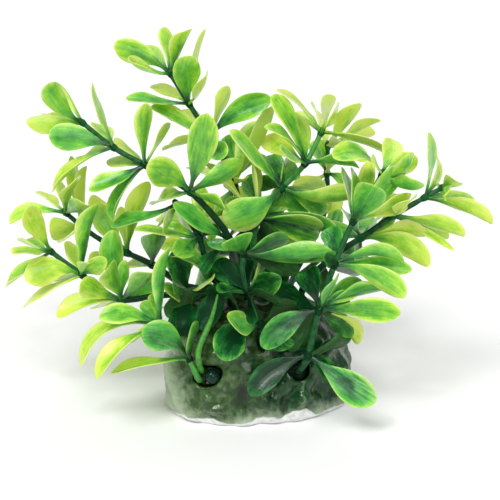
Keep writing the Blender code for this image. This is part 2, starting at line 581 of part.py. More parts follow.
def collar_corners(node, way, radius, turns):
    """Corners of a bored collar with a corner at each turn: outer low and high, inner low and high."""
    side = perpendicular(way)
    other = way.cross(side)
    count = len(turns)
    widths = [(turns[(i + 1) % count] - turns[i]) % math.tau for i in range(count)]
    corners = []
    for reach in (radius + COLLAR_BORE_GAP + COLLAR_WALL, radius + COLLAR_BORE_GAP):
        for level in (-COLLAR_HEIGHT / 2, COLLAR_HEIGHT / 2):
            for i, turn in enumerate(turns):
                far = reach / math.cos(max(widths[i - 1], widths[i]) / 2)
                corners.append(node + way * level + (side * math.cos(turn) + other * math.sin(turn)) * far)
    return corners


def bearing_of(node, way, rings):
    """The direction round the stem that a leaf leaves in."""
    side = perpendicular(way)
    out = sum(rings[0], Vector()) / 4 - node
    return math.atan2(out.dot(way.cross(side)), out.dot(side)) % math.tau


def gap_after(places, i):
    """The turn from one place round the stem to the next."""
    if i + 1 < len(places):
        return places[i + 1] - places[i]
    return places[0] + math.tau - places[i]


def spread(bearings):
    """Rising bearings, pushed apart until each leaf has its share of the collar."""
    least = min(LEAF_SPREAD, 0.95 * math.tau / len(bearings))
    places = list(bearings)
    for _ in range(200):
        for i in range(len(places)):
            lack = least - gap_after(places, i)
            if lack > 0:
                places[i] -= lack / 2
                places[(i + 1) % len(places)] += lack / 2
    return places


def collar_turns(places):
    """The turns of a collar's corners, and the number of the side for each leaf."""
    before = gap_after(places, len(places) - 1)
    turns = [places[0] - (before / 2 if before < WIDEST_SIDE else SIDE_TURN / 2)]
    sides = []
    for i, place in enumerate(places):
        gap = gap_after(places, i)
        sides.append(len(turns) - 1)
        if gap < WIDEST_SIDE:
            turns.append(place + gap / 2)
            continue
        turns.append(place + SIDE_TURN / 2)
        blank = gap - SIDE_TURN
        count = math.ceil(blank / WIDEST_SIDE)
        turns += [turns[-1] + blank * (k + 1) / count for k in range(count)]
    return turns[:-1], sides


def best_turn(quad, ring):
    """The ring's corners, begun at the one that lies nearest to the quad's first corner."""
    turned = [ring[k:] + ring[:k] for k in range(4)]
    return min(turned, key=lambda order: sum((a - b).length for a, b in zip(quad, order)))


def whorl_shape(node, way, radius, leaves):
    """A bored collar with a leaf grown out of a side for each leaf."""
    leaves = sorted(leaves, key=lambda leaf: bearing_of(node, way, leaf[0]))
    turns, taken = collar_turns(spread([bearing_of(node, way, rings) for rings, end in leaves]))
    corners = collar_corners(node, way, radius, turns)
    low_out, high_out, low_in, high_in = np.arange(4 * len(turns)).reshape(4, len(turns)).tolist()
    faces = band_faces([low_out, low_in, high_in, high_out])
    for side in range(len(turns)):
        if side not in taken:
            faces.append((low_out[side], low_out[side + 1 - len(turns)],
                          high_out[side + 1 - len(turns)], high_out[side]))
    for (rings, end), side in zip(leaves, taken):
        nxt = side + 1 - len(turns)
        numbers = [[high_out[nxt], high_out[side], low_out[side], low_out[nxt]]]
        first = best_turn([corners[i] for i in numbers[0]], rings[0])
        shift = rings[0].index(first[0])
        for ring in rings:
            numbers.append([len(corners) + i for i in range(4)])
            corners.extend(ring[shift:] + ring[:shift])
        faces += band_faces(numbers)
        corners.append(end)
        last = numbers[-1]
        for i in range(4):
            faces.append((last[i], last[(i + 1) % 4], len(corners) - 1))
    return corners, faces


def place_leaves(courses, obstacles):
    """Settle every leaf, those toward the viewer first, and return each whorl's leaves."""
    changes = leaf_changes()
    placed = {}
    trees = {}
    crowded = []
    for toward in (1, -1):
        for name, stem in STEMS.items():
            course = courses[name]
            own_stem = [obstacles[name]]
            for place, specs in stem["whorls"].items():
                key = (name, place)
                leaves = placed.setdefault(key, [])
                mark = course["marks"][place]
                node = course["rings"][mark]
                near = stem["way"][place][2]
                for spec in specs:
                    if spec[2] != toward:
                        continue
                    plan = leaf_plan(node, near, spec)
                    own = own_stem + [tree_of(*leaf_shape(*leaf)) for leaf in leaves]
                    foreign = [tree for other, tree in obstacles.items() if other not in (name, key)]
                    for other, others in trees.items():
                        if other != key:
                            foreign += others
                    change = settle_leaf(plan, changes, own, foreign)
                    if change is None:
                        crowded.append((name, place, spec))
                        continue
                    rings, end = leaf_rings(plan, change, 0.0)
                    leaves.append((rings, end))
                    whole = leaf_shape([stalk_start(plan, rings)] + rings, end)
                    trees.setdefault(key, []).append(tree_of(*whole))
    if crowded:
        raise ValueError(f"no room for {crowded}")
    return placed


def build_rock(shape, mouths):
    """The rock, with a blind hole for each stem and a wide one at each front mouth."""
    rock = add_object("rock", *shape, ROCK_PAINT, 0.35)
    wide = {"left_hole": LEFT_HOLE, "right_hole": RIGHT_HOLE}
    narrow = (STEM_ROOT_RADIUS + TOP_HOLE_ROOM, STEM_ROOT_RADIUS + TOP_HOLE_ROOM)
    corners = []
    faces = []
    for name, (mouth, out) in mouths.items():
        sizes = wide.get(name, narrow)
        cutter = prism(mouth - out * HOLE_DEPTH, out, sizes, 3 * HOLE_DEPTH, HOLE_SIDES)
        faces += [tuple(len(corners) + i for i in face) for face in cutter[1]]
        corners += cutter[0]
    holes = add_object("hole_cutters", corners, faces, ROCK_PAINT, 0.5)
    holes.hide_render = True
    holes.display_type = "WIRE"
    cut = rock.modifiers.new("holes", "BOOLEAN")
    cut.operation = "DIFFERENCE"
    cut.solver = "EXACT"
    cut.object = holes


def build_knob(mouths):
    """The glossy ball at the right of the left hole."""
    place, out = mouths["left_hole"]
    across = UP.cross(out).normalized()
    centre = place + across * KNOB_PLACE[0] + out.cross(across) * KNOB_PLACE[1] + out * KNOB_PLACE[2]
    ball = bmesh.new()
    bmesh.ops.create_icosphere(ball, subdivisions=2, radius=KNOB_RADIUS * METRES)
    bmesh.ops.translate(ball, verts=ball.verts, vec=centre * METRES)
    mesh = bpy.data.meshes.new("knob")
    ball.to_mesh(mesh)
    ball.free()
    mesh.shade_smooth()
    knob = bpy.data.objects.new("knob", mesh)
    knob.data.materials.append(make_material("knob_finish", KNOB_GREEN, 0.15))
    bpy.context.scene.collection.objects.link(knob)
    return centre


def main():
    """Build the rock, the knob, the stems and their whorls."""
    clear_scene()
    shape = rock_shape()
    rock_tree = tree_of(*shape)
    mouths = hole_mouths(rock_tree[0])
    build_rock(shape, mouths)
    knob = build_knob(mouths)
    courses = {name: stem_course(name, mouths) for name in STEMS}
    obstacles = {"rock": rock_tree}
    ball = prism(knob - RIGHT * KNOB_RADIUS, RIGHT, (KNOB_RADIUS, KNOB_RADIUS), 2 * KNOB_RADIUS, HOLE_SIDES)
    obstacles["knob"] = tree_of(*ball)
    for name, course in courses.items():
        corners, faces = stem_shape(course)
        add_object("stem_" + name, corners, faces, STEM_GREEN, 0.3)
        obstacles[name] = tree_of(corners, faces)
    for name, stem in STEMS.items():
        for place in stem["whorls"]:
            course = courses[name]
            mark = course["marks"][place]
            turns = [SIDE_TURN * i for i in range(COLLAR_SIDES)]
            corners = collar_corners(course["rings"][mark], course["ways"][mark], course["radii"][mark], turns)
            hull = band_faces([list(range(COLLAR_SIDES)), list(range(COLLAR_SIDES, 2 * COLLAR_SIDES))])
            obstacles[(name, place)] = tree_of(corners, hull)
    placed = place_leaves(courses, obstacles)
    for (name, place), leaves in placed.items():
        course = courses[name]
        mark = course["marks"][place]
        node, way, radius = course["rings"][mark], course["ways"][mark], course["radii"][mark]
        corners, faces = whorl_shape(node, way, radius, leaves)
        number = list(STEMS[name]["whorls"]).index(place) + 1
        add_object(f"whorl_{name}_{number}", corners, faces, LEAF_GREEN, 0.35)


main()
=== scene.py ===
"""The looks of the moulded bacopa on its painted rock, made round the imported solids."""

import math
import random

import bpy
import numpy as np
from mathutils import Matrix, Vector, noise
from mathutils.bvhtree import BVHTree


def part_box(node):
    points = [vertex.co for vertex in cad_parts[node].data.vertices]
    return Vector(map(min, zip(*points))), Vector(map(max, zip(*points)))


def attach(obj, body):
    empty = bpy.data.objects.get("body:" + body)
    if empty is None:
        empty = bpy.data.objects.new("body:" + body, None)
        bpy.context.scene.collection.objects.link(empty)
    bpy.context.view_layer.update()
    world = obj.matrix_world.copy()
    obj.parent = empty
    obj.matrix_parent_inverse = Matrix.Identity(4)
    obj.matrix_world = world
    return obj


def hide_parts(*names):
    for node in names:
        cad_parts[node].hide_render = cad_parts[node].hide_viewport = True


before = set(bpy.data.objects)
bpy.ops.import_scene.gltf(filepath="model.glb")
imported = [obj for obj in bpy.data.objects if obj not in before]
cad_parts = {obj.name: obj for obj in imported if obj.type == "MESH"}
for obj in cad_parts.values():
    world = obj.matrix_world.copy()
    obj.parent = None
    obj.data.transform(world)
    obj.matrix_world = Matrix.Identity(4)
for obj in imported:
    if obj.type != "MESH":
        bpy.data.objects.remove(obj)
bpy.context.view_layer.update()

# Places and lengths are in metres. MM turns millimetres into metres.
MM = 0.001

# The view of the photograph
VIEW_TILT = math.radians(20.0)
VIEW_DISTANCE = 600 * MM
VIEW_RIGHT = np.array([1.0, 0.0, 0.0])
VIEW_UP = np.array([0.0, math.sin(VIEW_TILT), math.cos(VIEW_TILT)])
VIEW_NEAR = np.array([0.0, -math.cos(VIEW_TILT), math.sin(VIEW_TILT)])
VIEW_TARGET = np.array([-2.85, 15.39, 42.29]) * MM
VIEW_WIDTH = 150 * MM
SENSOR = 36.0

# The light: where it comes from, how many degrees wide it looks, and its strength
KEY_FROM = (-0.42, -0.62, 1.0)
KEY_SOFTNESS = 28.0
KEY_STRENGTH = 1.58
FILL_FROM = (0.3, -1.0, 0.75)
FILL_SOFTNESS = 40.0
FILL_STRENGTH = 0.90
BACK_FROM = (0.25, 0.80, 1.0)
BACK_SOFTNESS = 40.0
BACK_STRENGTH = 0.50
GLINTS_FROM = ((-0.50, -0.70, 1.0), (0.05, -0.80, 1.0), (0.60, -0.70, 1.0))
GLINT_SOFTNESS = 6.5
GLINT_STRENGTH = 0.20
ROOM_STRENGTH = 0.40

# Where the solids' leaves have their rings, as shares of the way from the stem's middle to the tip
RING_SHARES = (0.30, 0.64, 0.88)

# The leaves
TAPER_STEPS = 19
END_STEPS = 9
LEAF_STEPS = TAPER_STEPS + END_STEPS
LEAF_POINTS = 28
BLADE_START = 0.10
BLADE_WIDEST = 0.66
PETIOLE_HALF = 0.50 * MM
PETIOLE_FLARE = 0.45 * MM
LEAF_THICK = 0.55 * MM
RIB_DEPTH = 0.17 * MM
VEIN_DEPTH = 0.05 * MM
VEIN_SPACING = 1.5 * MM
RIB_WIDTH = 0.36 * MM
# How far a leaf may twist, in degrees, and sway, in mm, and how deep its halves may fold
LEAF_TWIST = 24.0
LEAF_SWAY = 0.5
LEAF_FOLDS = (0.08, 0.16, 0.26, 0.38, 0.50, 0.62)

# The stems and collars
STEM_POINTS = 14
STEM_SUBSTEPS = 5
STEM_PAST_WHORL = 1.6 * MM
COLLAR_WALL = 0.38 * MM
COLLAR_HALF = 1.35 * MM

# The rock
ROCK_VOXEL = 0.5 * MM
ROCK_SMOOTHING = 16
# Bulges and folds of its face: place across and up in the view, half width, half height, push, in mm
BULGES = (
    (-13.5, -45.5, 8.0, 4.5, 1.0), (-12.2, -43.8, 2.2, 1.3, 1.2), (-7.2, -45.0, 1.6, 1.2, 1.2),
    (-9.2, -47.3, 3.0, 1.2, 1.3), (-3.2, -42.8, 3.0, 4.6, -1.9), (5.4, -46.0, 3.8, 1.7, 1.9),
    (10.8, -45.5, 1.4, 2.6, -1.0), (17.6, -44.6, 3.4, 1.9, 1.7), (18.6, -48.4, 1.2, 1.8, -0.8),
    (25.0, -42.6, 1.0, 3.4, -1.4), (-1.5, -36.5, 5.0, 4.0, 0.9), (24.5, -34.0, 4.0, 4.0, 1.0),
    (-20.5, -36.0, 1.2, 5.0, -0.4), (3.5, -38.6, 4.5, 0.9, -0.8), (-17.5, -50.0, 2.4, 1.6, 0.8),
)
# How big its lumps are, and how far in mm they push its face
LUMP_SIZE = 8.5 * MM
WIDE_LUMPS = 12 * MM
SMALL_LUMPS = 3 * MM
FINE_LUMPS = 1.1 * MM
RIM_LUMPS = 6 * MM
WIDE_PUSH = 0.7
LUMP_PUSH = 1.9
FINE_PUSH = 0.10
# The bare white foot: its height, and the scallops where it shows more: across, half width, more height
RIM_HEIGHT = 1.4
RIM_WANDER = 1.0
SCALLOPS = ((14.6, 5.2, 3.0), (6.0, 6.5, 1.0), (-14.0, 7.0, 0.8))
# The rays that tell how closed in a place is: how many in the widest circle, and how far they reach
RAY_TURNS = 8
HOLE_REACH = 9 * MM

# The knob
KNOB_ROWS = 22
KNOB_COLUMNS = 32

# How much yellower a whorl's leaves are than their place gives, as in the photograph; greener below zero.
# This is partly the leaves' own tone and partly painted light: whorls that lie back in shade, as
# whorl_thin_1 and whorl_thin_2, are made yellower in place of light they do not get.
TONE_SHIFTS = {
    "whorl_arch_2": -0.06, "whorl_arch_4": -0.16, "whorl_back_left_1": 0.12, "whorl_back_right_1": -0.30,
    "whorl_back_right_2": 0.14, "whorl_centre_1": 0.36, "whorl_centre_2": 0.19, "whorl_centre_3": 0.14,
    "whorl_centre_4": 0.06, "whorl_far_1": -0.02, "whorl_far_2": 0.04, "whorl_far_3": -0.18,
    "whorl_far_4": -0.14, "whorl_front_2": 0.07, "whorl_hole_1": 0.15, "whorl_hole_2": 0.10,
    "whorl_left_1": 0.10, "whorl_left_2": 0.08, "whorl_left_3": 0.18, "whorl_low_1": 0.38,
    "whorl_low_2": 0.10, "whorl_low_3": 0.12, "whorl_low_4": -0.12, "whorl_right_1": -0.24,
    "whorl_right_2": 0.12, "whorl_right_3": -0.12, "whorl_right_4": 0.12, "whorl_slim_1": -0.12,
    "whorl_tall_1": 0.28, "whorl_tall_2": 0.06, "whorl_tall_3": 0.08, "whorl_tall_4": -0.26,
    "whorl_thin_1": 0.50, "whorl_thin_2": 0.54,
}
# Single leaves: where the photograph's view shows the tip (across and up, in mm), how yellow the leaf is
# and how cool its green. Some also say how much deeper the heart is, and how much painted sheen, a pale
# painted reflection, one half has.
# Their tones are partly the leaves' own colour and partly painted light and shade: lighter where a leaf
# lies shaded under others, darker deep in the middle.
LEAF_SPOTS = (
    (-3.0, -6.0, 0.08, 0.5), (-14.0, -6.5, 0.16, 0.5), (-22.5, 14.6, 0.5, 0.8), (-31.3, 24.4, 0.58, 0.3),
    (-12.8, 41.0, 0.5, 0.2), (-2.0, 26.0, 0.56, 0.7), (-41.5, 8.9, 0.44, 0.5),
    (-48.3, 17.8, 0.55, 0.5, 0.1), (-42.2, 27.6, 0.78, 0.2), (-31.2, 44.0, 0.66, 0.3),
    (-60.4, 34.0, 0.46, 0.8), (-60.5, 50.6, 0.62, 0.6), (22.0, 7.0, 0.6, 1.0, 0.0, 0.3),
    (-7.8, 8.8, 0.62, 0.9, 0.0, 0.5), (-5.6, 36.3, 0.64, 0.5, 0.0, 0.3), (13.0, 26.4, 0.52, 0.6),
    (3.2, 28.9, 0.4, 0.4), (33.0, 17.2, 0.8, 0.4), (22.1, 18.8, 0.84, 0.2), (9.8, 29.2, 0.62, 0.9),
    (4.8, 37.4, 0.62, 0.6), (3.9, 33.7, 0.88, 0.0), (6.7, 46.5, 0.62, 0.3), (13.2, 41.2, 0.82, 0.6),
    (28.0, 12.8, 0.42, 0.6), (38.5, 9.6, 0.5, 0.9), (54.2, 35.3, 0.7, 0.8), (-6.4, -19.6, 0.54, 1.0),
    (-7.5, -33.2, 0.24, 0.5, 0.2), (12.7, -28.9, 0.2, 0.5), (13.8, -15.8, 0.0, 0.5),
    (8.5, -14.5, 0.03, 0.5), (2.0, -21.0, 0.05, 0.8), (9.2, -8.2, 0.22, 0.3, 0.0, 0.05),
    (6.0, -2.2, 0.5, 0.6), (-4.0, 4.2, 0.48, 1.0), (25.0, -0.8, 0.44, 0.8, 0.08), (11.4, 3.4, 0.34, 0.8),
    (-32.6, -26.0, 0.38, 1.0, 0.1, 0.8), (-41.7, -37.2, 0.82, 0.4), (-24.4, 1.2, 0.52, 0.9, 0.0, 0.3),
    (-29.0, 5.2, 0.36, 0.3), (-30.3, 20.5, 0.88, 0.0), (-49.8, 14.0, 0.58, 0.3),
    (-20.4, -26.4, 0.02, 0.8), (-25.2, -12.3, 0.62, 0.6), (-23.8, -8.8, 0.28, 0.3),
    (-42.6, -4.0, 0.66, 0.4), (-41.2, 6.0, 0.52, 0.8), (-67.2, -9.2, 0.84, 0.0),
    (-46.1, 13.9, 0.52, 0.5), (0.0, -43.6, 0.07, 1.0, 0.1, 0.14), (37.6, -45.8, 0.52, 0.9, 0.36, 0.55),
    (4.0, -29.5, 0.3, 0.9, 0.1, 0.05), (26.2, -8.3, 0.42, 0.9), (45.2, -19.0, 0.58, 0.3, 0.12),
    (32.3, -27.9, 0.96, 0.0), (22.2, -2.2, 0.18, 0.5), (33.0, -7.5, 0.3, 0.5), (46.8, -14.0, 0.62, 0.5),
    (46.7, -3.2, 0.46, 0.8), (38.4, 19.2, 0.46, 0.9), (28.2, 25.0, 0.56, 0.8), (31.4, 24.6, 0.56, 0.8),
    (24.8, 27.6, 0.62, 0.4), (47.8, 29.0, 0.6, 0.7), (51.9, 19.8, 0.58, 0.9), (-41.8, 7.5, 0.4, 0.7),
    (-45.2, -20.4, 0.58, 0.5), (-46.0, -38.4, 0.8, 0.2), (6.4, 45.4, 0.44, 0.4), (-8.8, 26.9, 0.42, 0.5),
    (-20.6, 42.6, 0.92, 0.0), (-6.6, 49.0, 0.92, 0.2), (-37.0, 46.0, 0.52, 0.7),
    (-17.3, 58.0, 0.58, 0.4), (-29.3, 49.8, 0.96, 0.0), (28.5, 3.0, 0.46, 0.9), (32.9, 44.0, 0.92, 0.0),
    (39.0, 39.4, 0.92, 0.1),
)
# How far from a spot a leaf's tip may be seen, in mm
SPOT_SIZE = 2.2
# Whorls whose leaves get a painted sheen: a pale painted reflection on one half of each leaf
SHEEN_PAINTED_WHORLS = ("whorl_tall_1", "whorl_tall_3", "whorl_thin_1", "whorl_thin_2", "whorl_centre_1",
               "whorl_centre_4")
PAINTED_SHEEN_SHARE = 0.45
# How a leaf's tone changes over it: darker at the base, the heart and the rib, lighter at the margins
# and the tip, and a little lighter all over
BASE_SHADE = 0.40
BASE_REACH = 0.34
HEART_DEPTH = 0.14
MARGIN_START = 0.50
MARGIN_LIGHT = (0.16, 0.38)
TIP_LIGHT = 0.16
RIB_SHADE = 0.17
LEAF_LIFT = 0.11
# Leaves darker than this are dull
DARK_TONE = 0.27
# Further leaves of the whorls, close behind others: where the view shows the tip (across and up), how far
# it stands toward the viewer from the collar, and the leaf's width, all in mm, then its tone. The low
# tones of the leaves deep in the middle are partly painted shade.
MORE_LEAVES = {
    "whorl_centre_2": ((5.4, 28.8, -6, 5.5, 0.30), (13.8, 25.2, -11, 6.0, 0.45),
                       (-0.3, 19.2, -10, 5.0, 0.30), (16.5, 10.8, -8, 7.0, 0.42),
                       (23.5, 11.5, -9, 6.5, 0.45), (6.5, 8.5, -7, 6.5, 0.40)),
    "whorl_centre_1": ((5.4, -3.6, -8, 7.0, 0.10), (-5.4, -3.6, -9, 6.5, 0.10),
                       (21.0, 4.0, -10, 7.5, 0.34), (-7.5, 14.4, -6, 5.0, 0.62),
                       (11.5, 17.5, -4, 7.5, 0.45), (-1.5, 22.5, -6, 6.0, 0.38)),
    "whorl_front_3": ((-12.9, 2.1, -4, 3.5, 0.28), (20.4, -2.4, 2, 4.0, 0.12), (14.5, -6.5, -6, 7.0, 0.10)),
    "whorl_front_2": ((-10.5, -3.6, -8, 7.0, 0.10), (12.0, -6.0, -10, 7.0, 0.08),
                      (15.0, -15.0, -6, 7.0, 0.08), (-13.5, -15.0, -8, 6.0, 0.08),
                      (-2.5, -3.0, -8, 7.0, 0.05)),
    "whorl_front_1": ((12.0, -24.0, -8, 7.0, 0.08),),
    "whorl_right_2": ((30.0, -15.0, -4, 7.0, 0.34), (30.6, -25.8, -8, 6.0, 0.25),
                      (12.0, -30.6, -6, 7.0, 0.05), (16.5, -5.5, -6, 7.5, 0.12),
                      (34.0, -9.5, -6, 6.5, 0.42)),
    "whorl_right_1": ((11.4, -26.4, -4, 2.0, 0.15), (24.0, -38.4, -3, 5.0, 0.12)),
    "whorl_right_3": ((48.6, -6.0, -4, 5.5, 0.62), (23.5, 6.5, -8, 6.5, 0.32)),
    "whorl_right_4": ((36.0, 27.0, -8, 5.0, 0.85), (46.2, 25.5, 2, 6.5, 0.52), (48.0, 15.0, -9, 6.0, 0.80)),
    "whorl_right_5": ((50.4, 27.0, -4, 6.5, 0.62),),
    "whorl_far_1": ((44.1, 11.4, -6, 3.5, 0.80),),
    "whorl_far_2": ((61.5, 0.0, -3, 2.4, 0.80),),
    "whorl_thin_2": ((35.4, 27.0, -3, 5.0, 0.80),),
    "whorl_thin_1": ((30.6, 18.0, 0, 4.0, 0.72), (19.0, 33.0, -3, 5.5, 0.62)),
    "whorl_left_2": ((-45.9, 14.1, 0, 7.2, 0.72),),
    "whorl_low_2": ((-51.0, -9.6, 8, 6.5, 0.72), (-37.4, -3.0, 4, 4.0, 0.52), (-27.5, -9.8, -3, 6.0, 0.42)),
    "whorl_low_3": ((-48.0, -3.6, 12, 5.0, 0.72), (-43.0, -3.0, 6, 5.5, 0.72)),
    "whorl_low_4": ((-63.9, 8.4, 2, 1.8, 0.75),),
    "whorl_low_1": ((-22.2, 0.0, 4, 7.0, 0.18), (-24.5, -20.5, 2, 5.0, 0.10)),
    "whorl_hole_2": ((-32.0, -15.0, 2, 3.6, 0.50),),
    "whorl_short_1": ((-25.2, 7.6, -2, 3.6, 0.60),),
    "whorl_slim_1": ((-25.2, -16.8, -2, 4.5, 0.06), (-14.5, -24.0, 6, 7.5, 0.03)),
    "whorl_tall_1": ((2.6, 39.0, -6, 6.5, 0.75), (-7.0, 34.8, -7, 6.5, 0.42), (0.6, 29.0, -8, 5.0, 0.38)),
}
# The darkest place in the view, how far the dark goes, and where the leaves are lightest. The dark low in
# the middle is partly the leaves' own deeper green and partly painted shade, where little light gets in
DARK_MIDDLE = (3 * MM, -20 * MM)
DARK_REACH = 12 * MM
LIGHT_REACH = 58 * MM
# Leaves further back than this are lighter by so much: painted light, for light shining through them
BACK_DEPTH = -8 * MM
BACK_TONE = 0.12

# How light each stem's green is, what the other stems have, and how much lighter a stem is at its tip.
# The darker root is partly the rods' own colour and partly painted shade where they go into the rock.
STEM_TONES = {"stem_centre": 0.54, "stem_hole": 0.76, "stem_slim": 0.76, "stem_right": 0.32,
              "stem_far": 0.22, "stem_front": 0.26, "stem_thin": 0.22, "stem_back_left": 0.28,
              "stem_back_right": 0.28}
DARK_STEM = 0.16
STEM_LIFT = 0.34

# Colours. In a ramp each one stands after the level it belongs to.
WARM_GREENS = (
    (0.0, (0.0030, 0.034, 0.0070)), (0.20, (0.012, 0.110, 0.018)), (0.40, (0.070, 0.290, 0.030)),
    (0.60, (0.210, 0.475, 0.034)), (0.80, (0.420, 0.660, 0.048)), (1.0, (0.640, 0.780, 0.120)),
)
COOL_GREENS = (
    (0.0, (0.0020, 0.034, 0.0100)), (0.20, (0.010, 0.115, 0.026)), (0.40, (0.040, 0.300, 0.042)),
    (0.60, (0.115, 0.460, 0.050)), (0.80, (0.270, 0.610, 0.070)), (1.0, (0.500, 0.720, 0.130)),
)
# Pale colours of the painted sheen, a reflection painted into the leaves' colour
PAINTED_SHEEN_GREYS = ((0.25, (0.12, 0.23, 0.15)), (0.65, (0.46, 0.62, 0.42)))
UNDER_GREEN = (0.20, 0.38, 0.10)
# Painted light along the leaves' thin edges, where light shines through them
PAINTED_EDGE_LIGHT = (0.72, 0.86, 0.36)
STEM_GREENS = (
    (0.0, (0.0030, 0.022, 0.010)), (0.3, (0.0050, 0.050, 0.016)), (0.6, (0.020, 0.150, 0.030)),
    (1.0, (0.100, 0.360, 0.050)),
)
MOSS_GREENS = ((0.34, (0.003, 0.026, 0.006)), (0.50, (0.006, 0.050, 0.011)), (0.68, (0.030, 0.115, 0.030)))
OLIVE_GREENS = ((0.34, (0.012, 0.038, 0.006)), (0.50, (0.031, 0.078, 0.015)), (0.70, (0.090, 0.160, 0.050)))
# Pale paint: real dry-brushing at the foot and left edge, and a painted highlight on the tops of the lumps
WORN_PAINT_AND_HIGHLIGHT = (0.36, 0.45, 0.30)
# Painted shade in the rock's creases and folds
PAINTED_CREASE_SHADE = (0.004, 0.016, 0.004)
# Painted shade deep in the holes
PAINTED_HOLE_SHADE = (0.0015, 0.0035, 0.0018)
BARE_ROCK = ((0.3, (0.60, 0.61, 0.60)), (0.6, (0.84, 0.85, 0.85)))
KNOB_GREENS = ((0.3, (0.001, 0.014, 0.007)), (0.7, (0.005, 0.038, 0.019)))
FLOOR_WHITE = (0.93, 0.93, 0.93, 1.0)
# Half the floor's side, and how far it lies below the foot
FLOOR_HALF = 6.0
FLOOR_DROP = 0.05 * MM

# How the leaves shine, brighter and duller: specular level, coat, and the roughness from least to most
GLOSSY_LEAF = (0.22, 0.30, 0.22, 0.40)
DULL_LEAF = (0.06, 0.05, 0.40, 0.60)
# How light spreads inside a leaf: its share, how far red, green and blue go, and the scale in metres
LEAF_SPREAD = 0.45
LEAF_SPREAD_RADII = (0.7, 1.0, 0.25)
LEAF_SPREAD_SCALE = 0.0016


def welded(node):
    """A node's points, each once, and each point's neighbours."""
    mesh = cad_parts[node].data
    points = []
    number = {}
    index = []
    for vertex in mesh.vertices:
        key = tuple(round(c * 1e6) for c in vertex.co)
        if key not in number:
            number[key] = len(points)
            points.append(np.array(vertex.co))
        index.append(number[key])
    mesh.calc_loop_triangles()
    links = [set() for _ in points]
    for triangle in mesh.loop_triangles:
        a, b, c = (index[i] for i in triangle.vertices)
        links[a] |= {b, c}
        links[b] |= {a, c}
        links[c] |= {a, b}
    return np.array(points), [near - {i} for i, near in enumerate(links)]


def layers(links, start, count):
    """The points one edge from the start, then those two edges away, and so on."""
    seen = {start}
    front = {start}
    found = []
    for _ in range(count):
        front = {j for i in front for j in links[i]} - seen
        if not front:
            break
        seen |= front
        found.append(sorted(front))
    return found


def unit(v):
    """A vector or rows of vectors made one long."""
    return v / np.maximum(np.linalg.norm(v, axis=-1, keepdims=True), 1e-12)


def read_stem(node):
    """A stem's ring centres from root to tip, and their radii."""
    points, links = welded(node)
    for tip, near in enumerate(links):
        found = layers(links, tip, len(points))
        if len(near) == 6 and all(len(layer) == 6 for layer in found):
            break
    centres = [points[tip]] + [points[layer].mean(axis=0) for layer in found]
    radii = [0.3 * MM]
    for layer, centre in zip(found, centres[1:]):
        radii.append(np.linalg.norm(points[layer] - centre, axis=1).mean())
    return np.array(centres[::-1]), np.array(radii[::-1])


def smooth_path(centres, radii):
    """More points on a smooth curve through the centres, with their radii."""
    path = []
    widths = []
    for i in range(len(centres) - 1):
        start, end = centres[i], centres[i + 1]
        leave = (end - centres[max(i - 1, 0)]) / 2
        arrive = (centres[min(i + 2, len(centres) - 1)] - start) / 2
        for k in range(STEM_SUBSTEPS):
            u = k / STEM_SUBSTEPS
            path.append(start * (2 * u**3 - 3 * u**2 + 1) + leave * (u**3 - 2 * u**2 + u)
                        + end * (3 * u**2 - 2 * u**3) + arrive * (u**3 - u**2))
            widths.append(radii[i] * (1 - u) + radii[i + 1] * u)
    path.append(centres[-1])
    widths.append(radii[-1])
    return np.array(path), np.array(widths)


def make_mesh(name, points, faces, numbers):
    """A smooth-shaded object, with a float on each point for every name in numbers."""
    mesh = bpy.data.meshes.new(name)
    mesh.from_pydata(points.tolist(), [], faces)
    for key, values in numbers.items():
        attribute = mesh.attributes.new(key, "FLOAT", "POINT")
        attribute.data.foreach_set("value", np.asarray(values, dtype=np.float32))
    mesh.validate()
    mesh.shade_smooth()
    thing = bpy.data.objects.new(name, mesh)
    bpy.context.scene.collection.objects.link(thing)
    return thing


def lathe_faces(rows, columns, start=0):
    """Faces between closed rings of points."""
    faces = []
    for i in range(rows - 1):
        for j in range(columns):
            k = (j + 1) % columns
            a = start + i * columns
            faces.append((a + j, a + k, a + columns + k, a + columns + j))
    return faces


def carried_sides(path):
    """Two directions square to a path at each point, turned as little as possible along it."""
    ways = unit(np.gradient(path, axis=0))
    side = np.cross(ways[0], VIEW_NEAR)
    sides = []
    for way in ways:
        side = unit(side - way * side.dot(way))
        sides.append(side)
    sides = np.array(sides)
    return sides, np.cross(ways, sides)


def stem_piece(node, tone, end):
    """A round, slightly uneven rod along a stem's course, to just past its last whorl."""
    path, widths = smooth_path(*read_stem(node))
    last = int(np.argmin(np.linalg.norm(path - end, axis=1)))
    past = np.linalg.norm(path - path[last], axis=1) < STEM_PAST_WHORL
    last = max(i for i in range(last, len(path)) if past[i])
    path, widths = path[:last + 1], widths[:last + 1].copy()
    widths[-1] *= 0.6
    sides, others = carried_sides(path)
    turns = np.arange(STEM_POINTS) * math.tau / STEM_POINTS
    along = np.linspace(0, 1, len(path))
    uneven = 1 + 0.05 * np.sin(along * 61) + 0.03 * np.sin(along * 143)
    rings = (path[:, None] + (sides[:, None] * np.cos(turns)[None, :, None]
                              + others[:, None] * np.sin(turns)[None, :, None])
             * (widths * uneven)[:, None, None])
    points = rings.reshape(-1, 3)
    faces = lathe_faces(len(path), STEM_POINTS)
    faces.append(tuple(range(STEM_POINTS))[::-1])
    faces.append(tuple(range(len(points) - STEM_POINTS, len(points))))
    numbers = {
        "along": np.repeat(along, STEM_POINTS),
        "tone": np.full(len(points), tone),
    }
    piece = make_mesh(node.replace("stem", "rod"), points, faces, numbers)
    return piece, path, widths


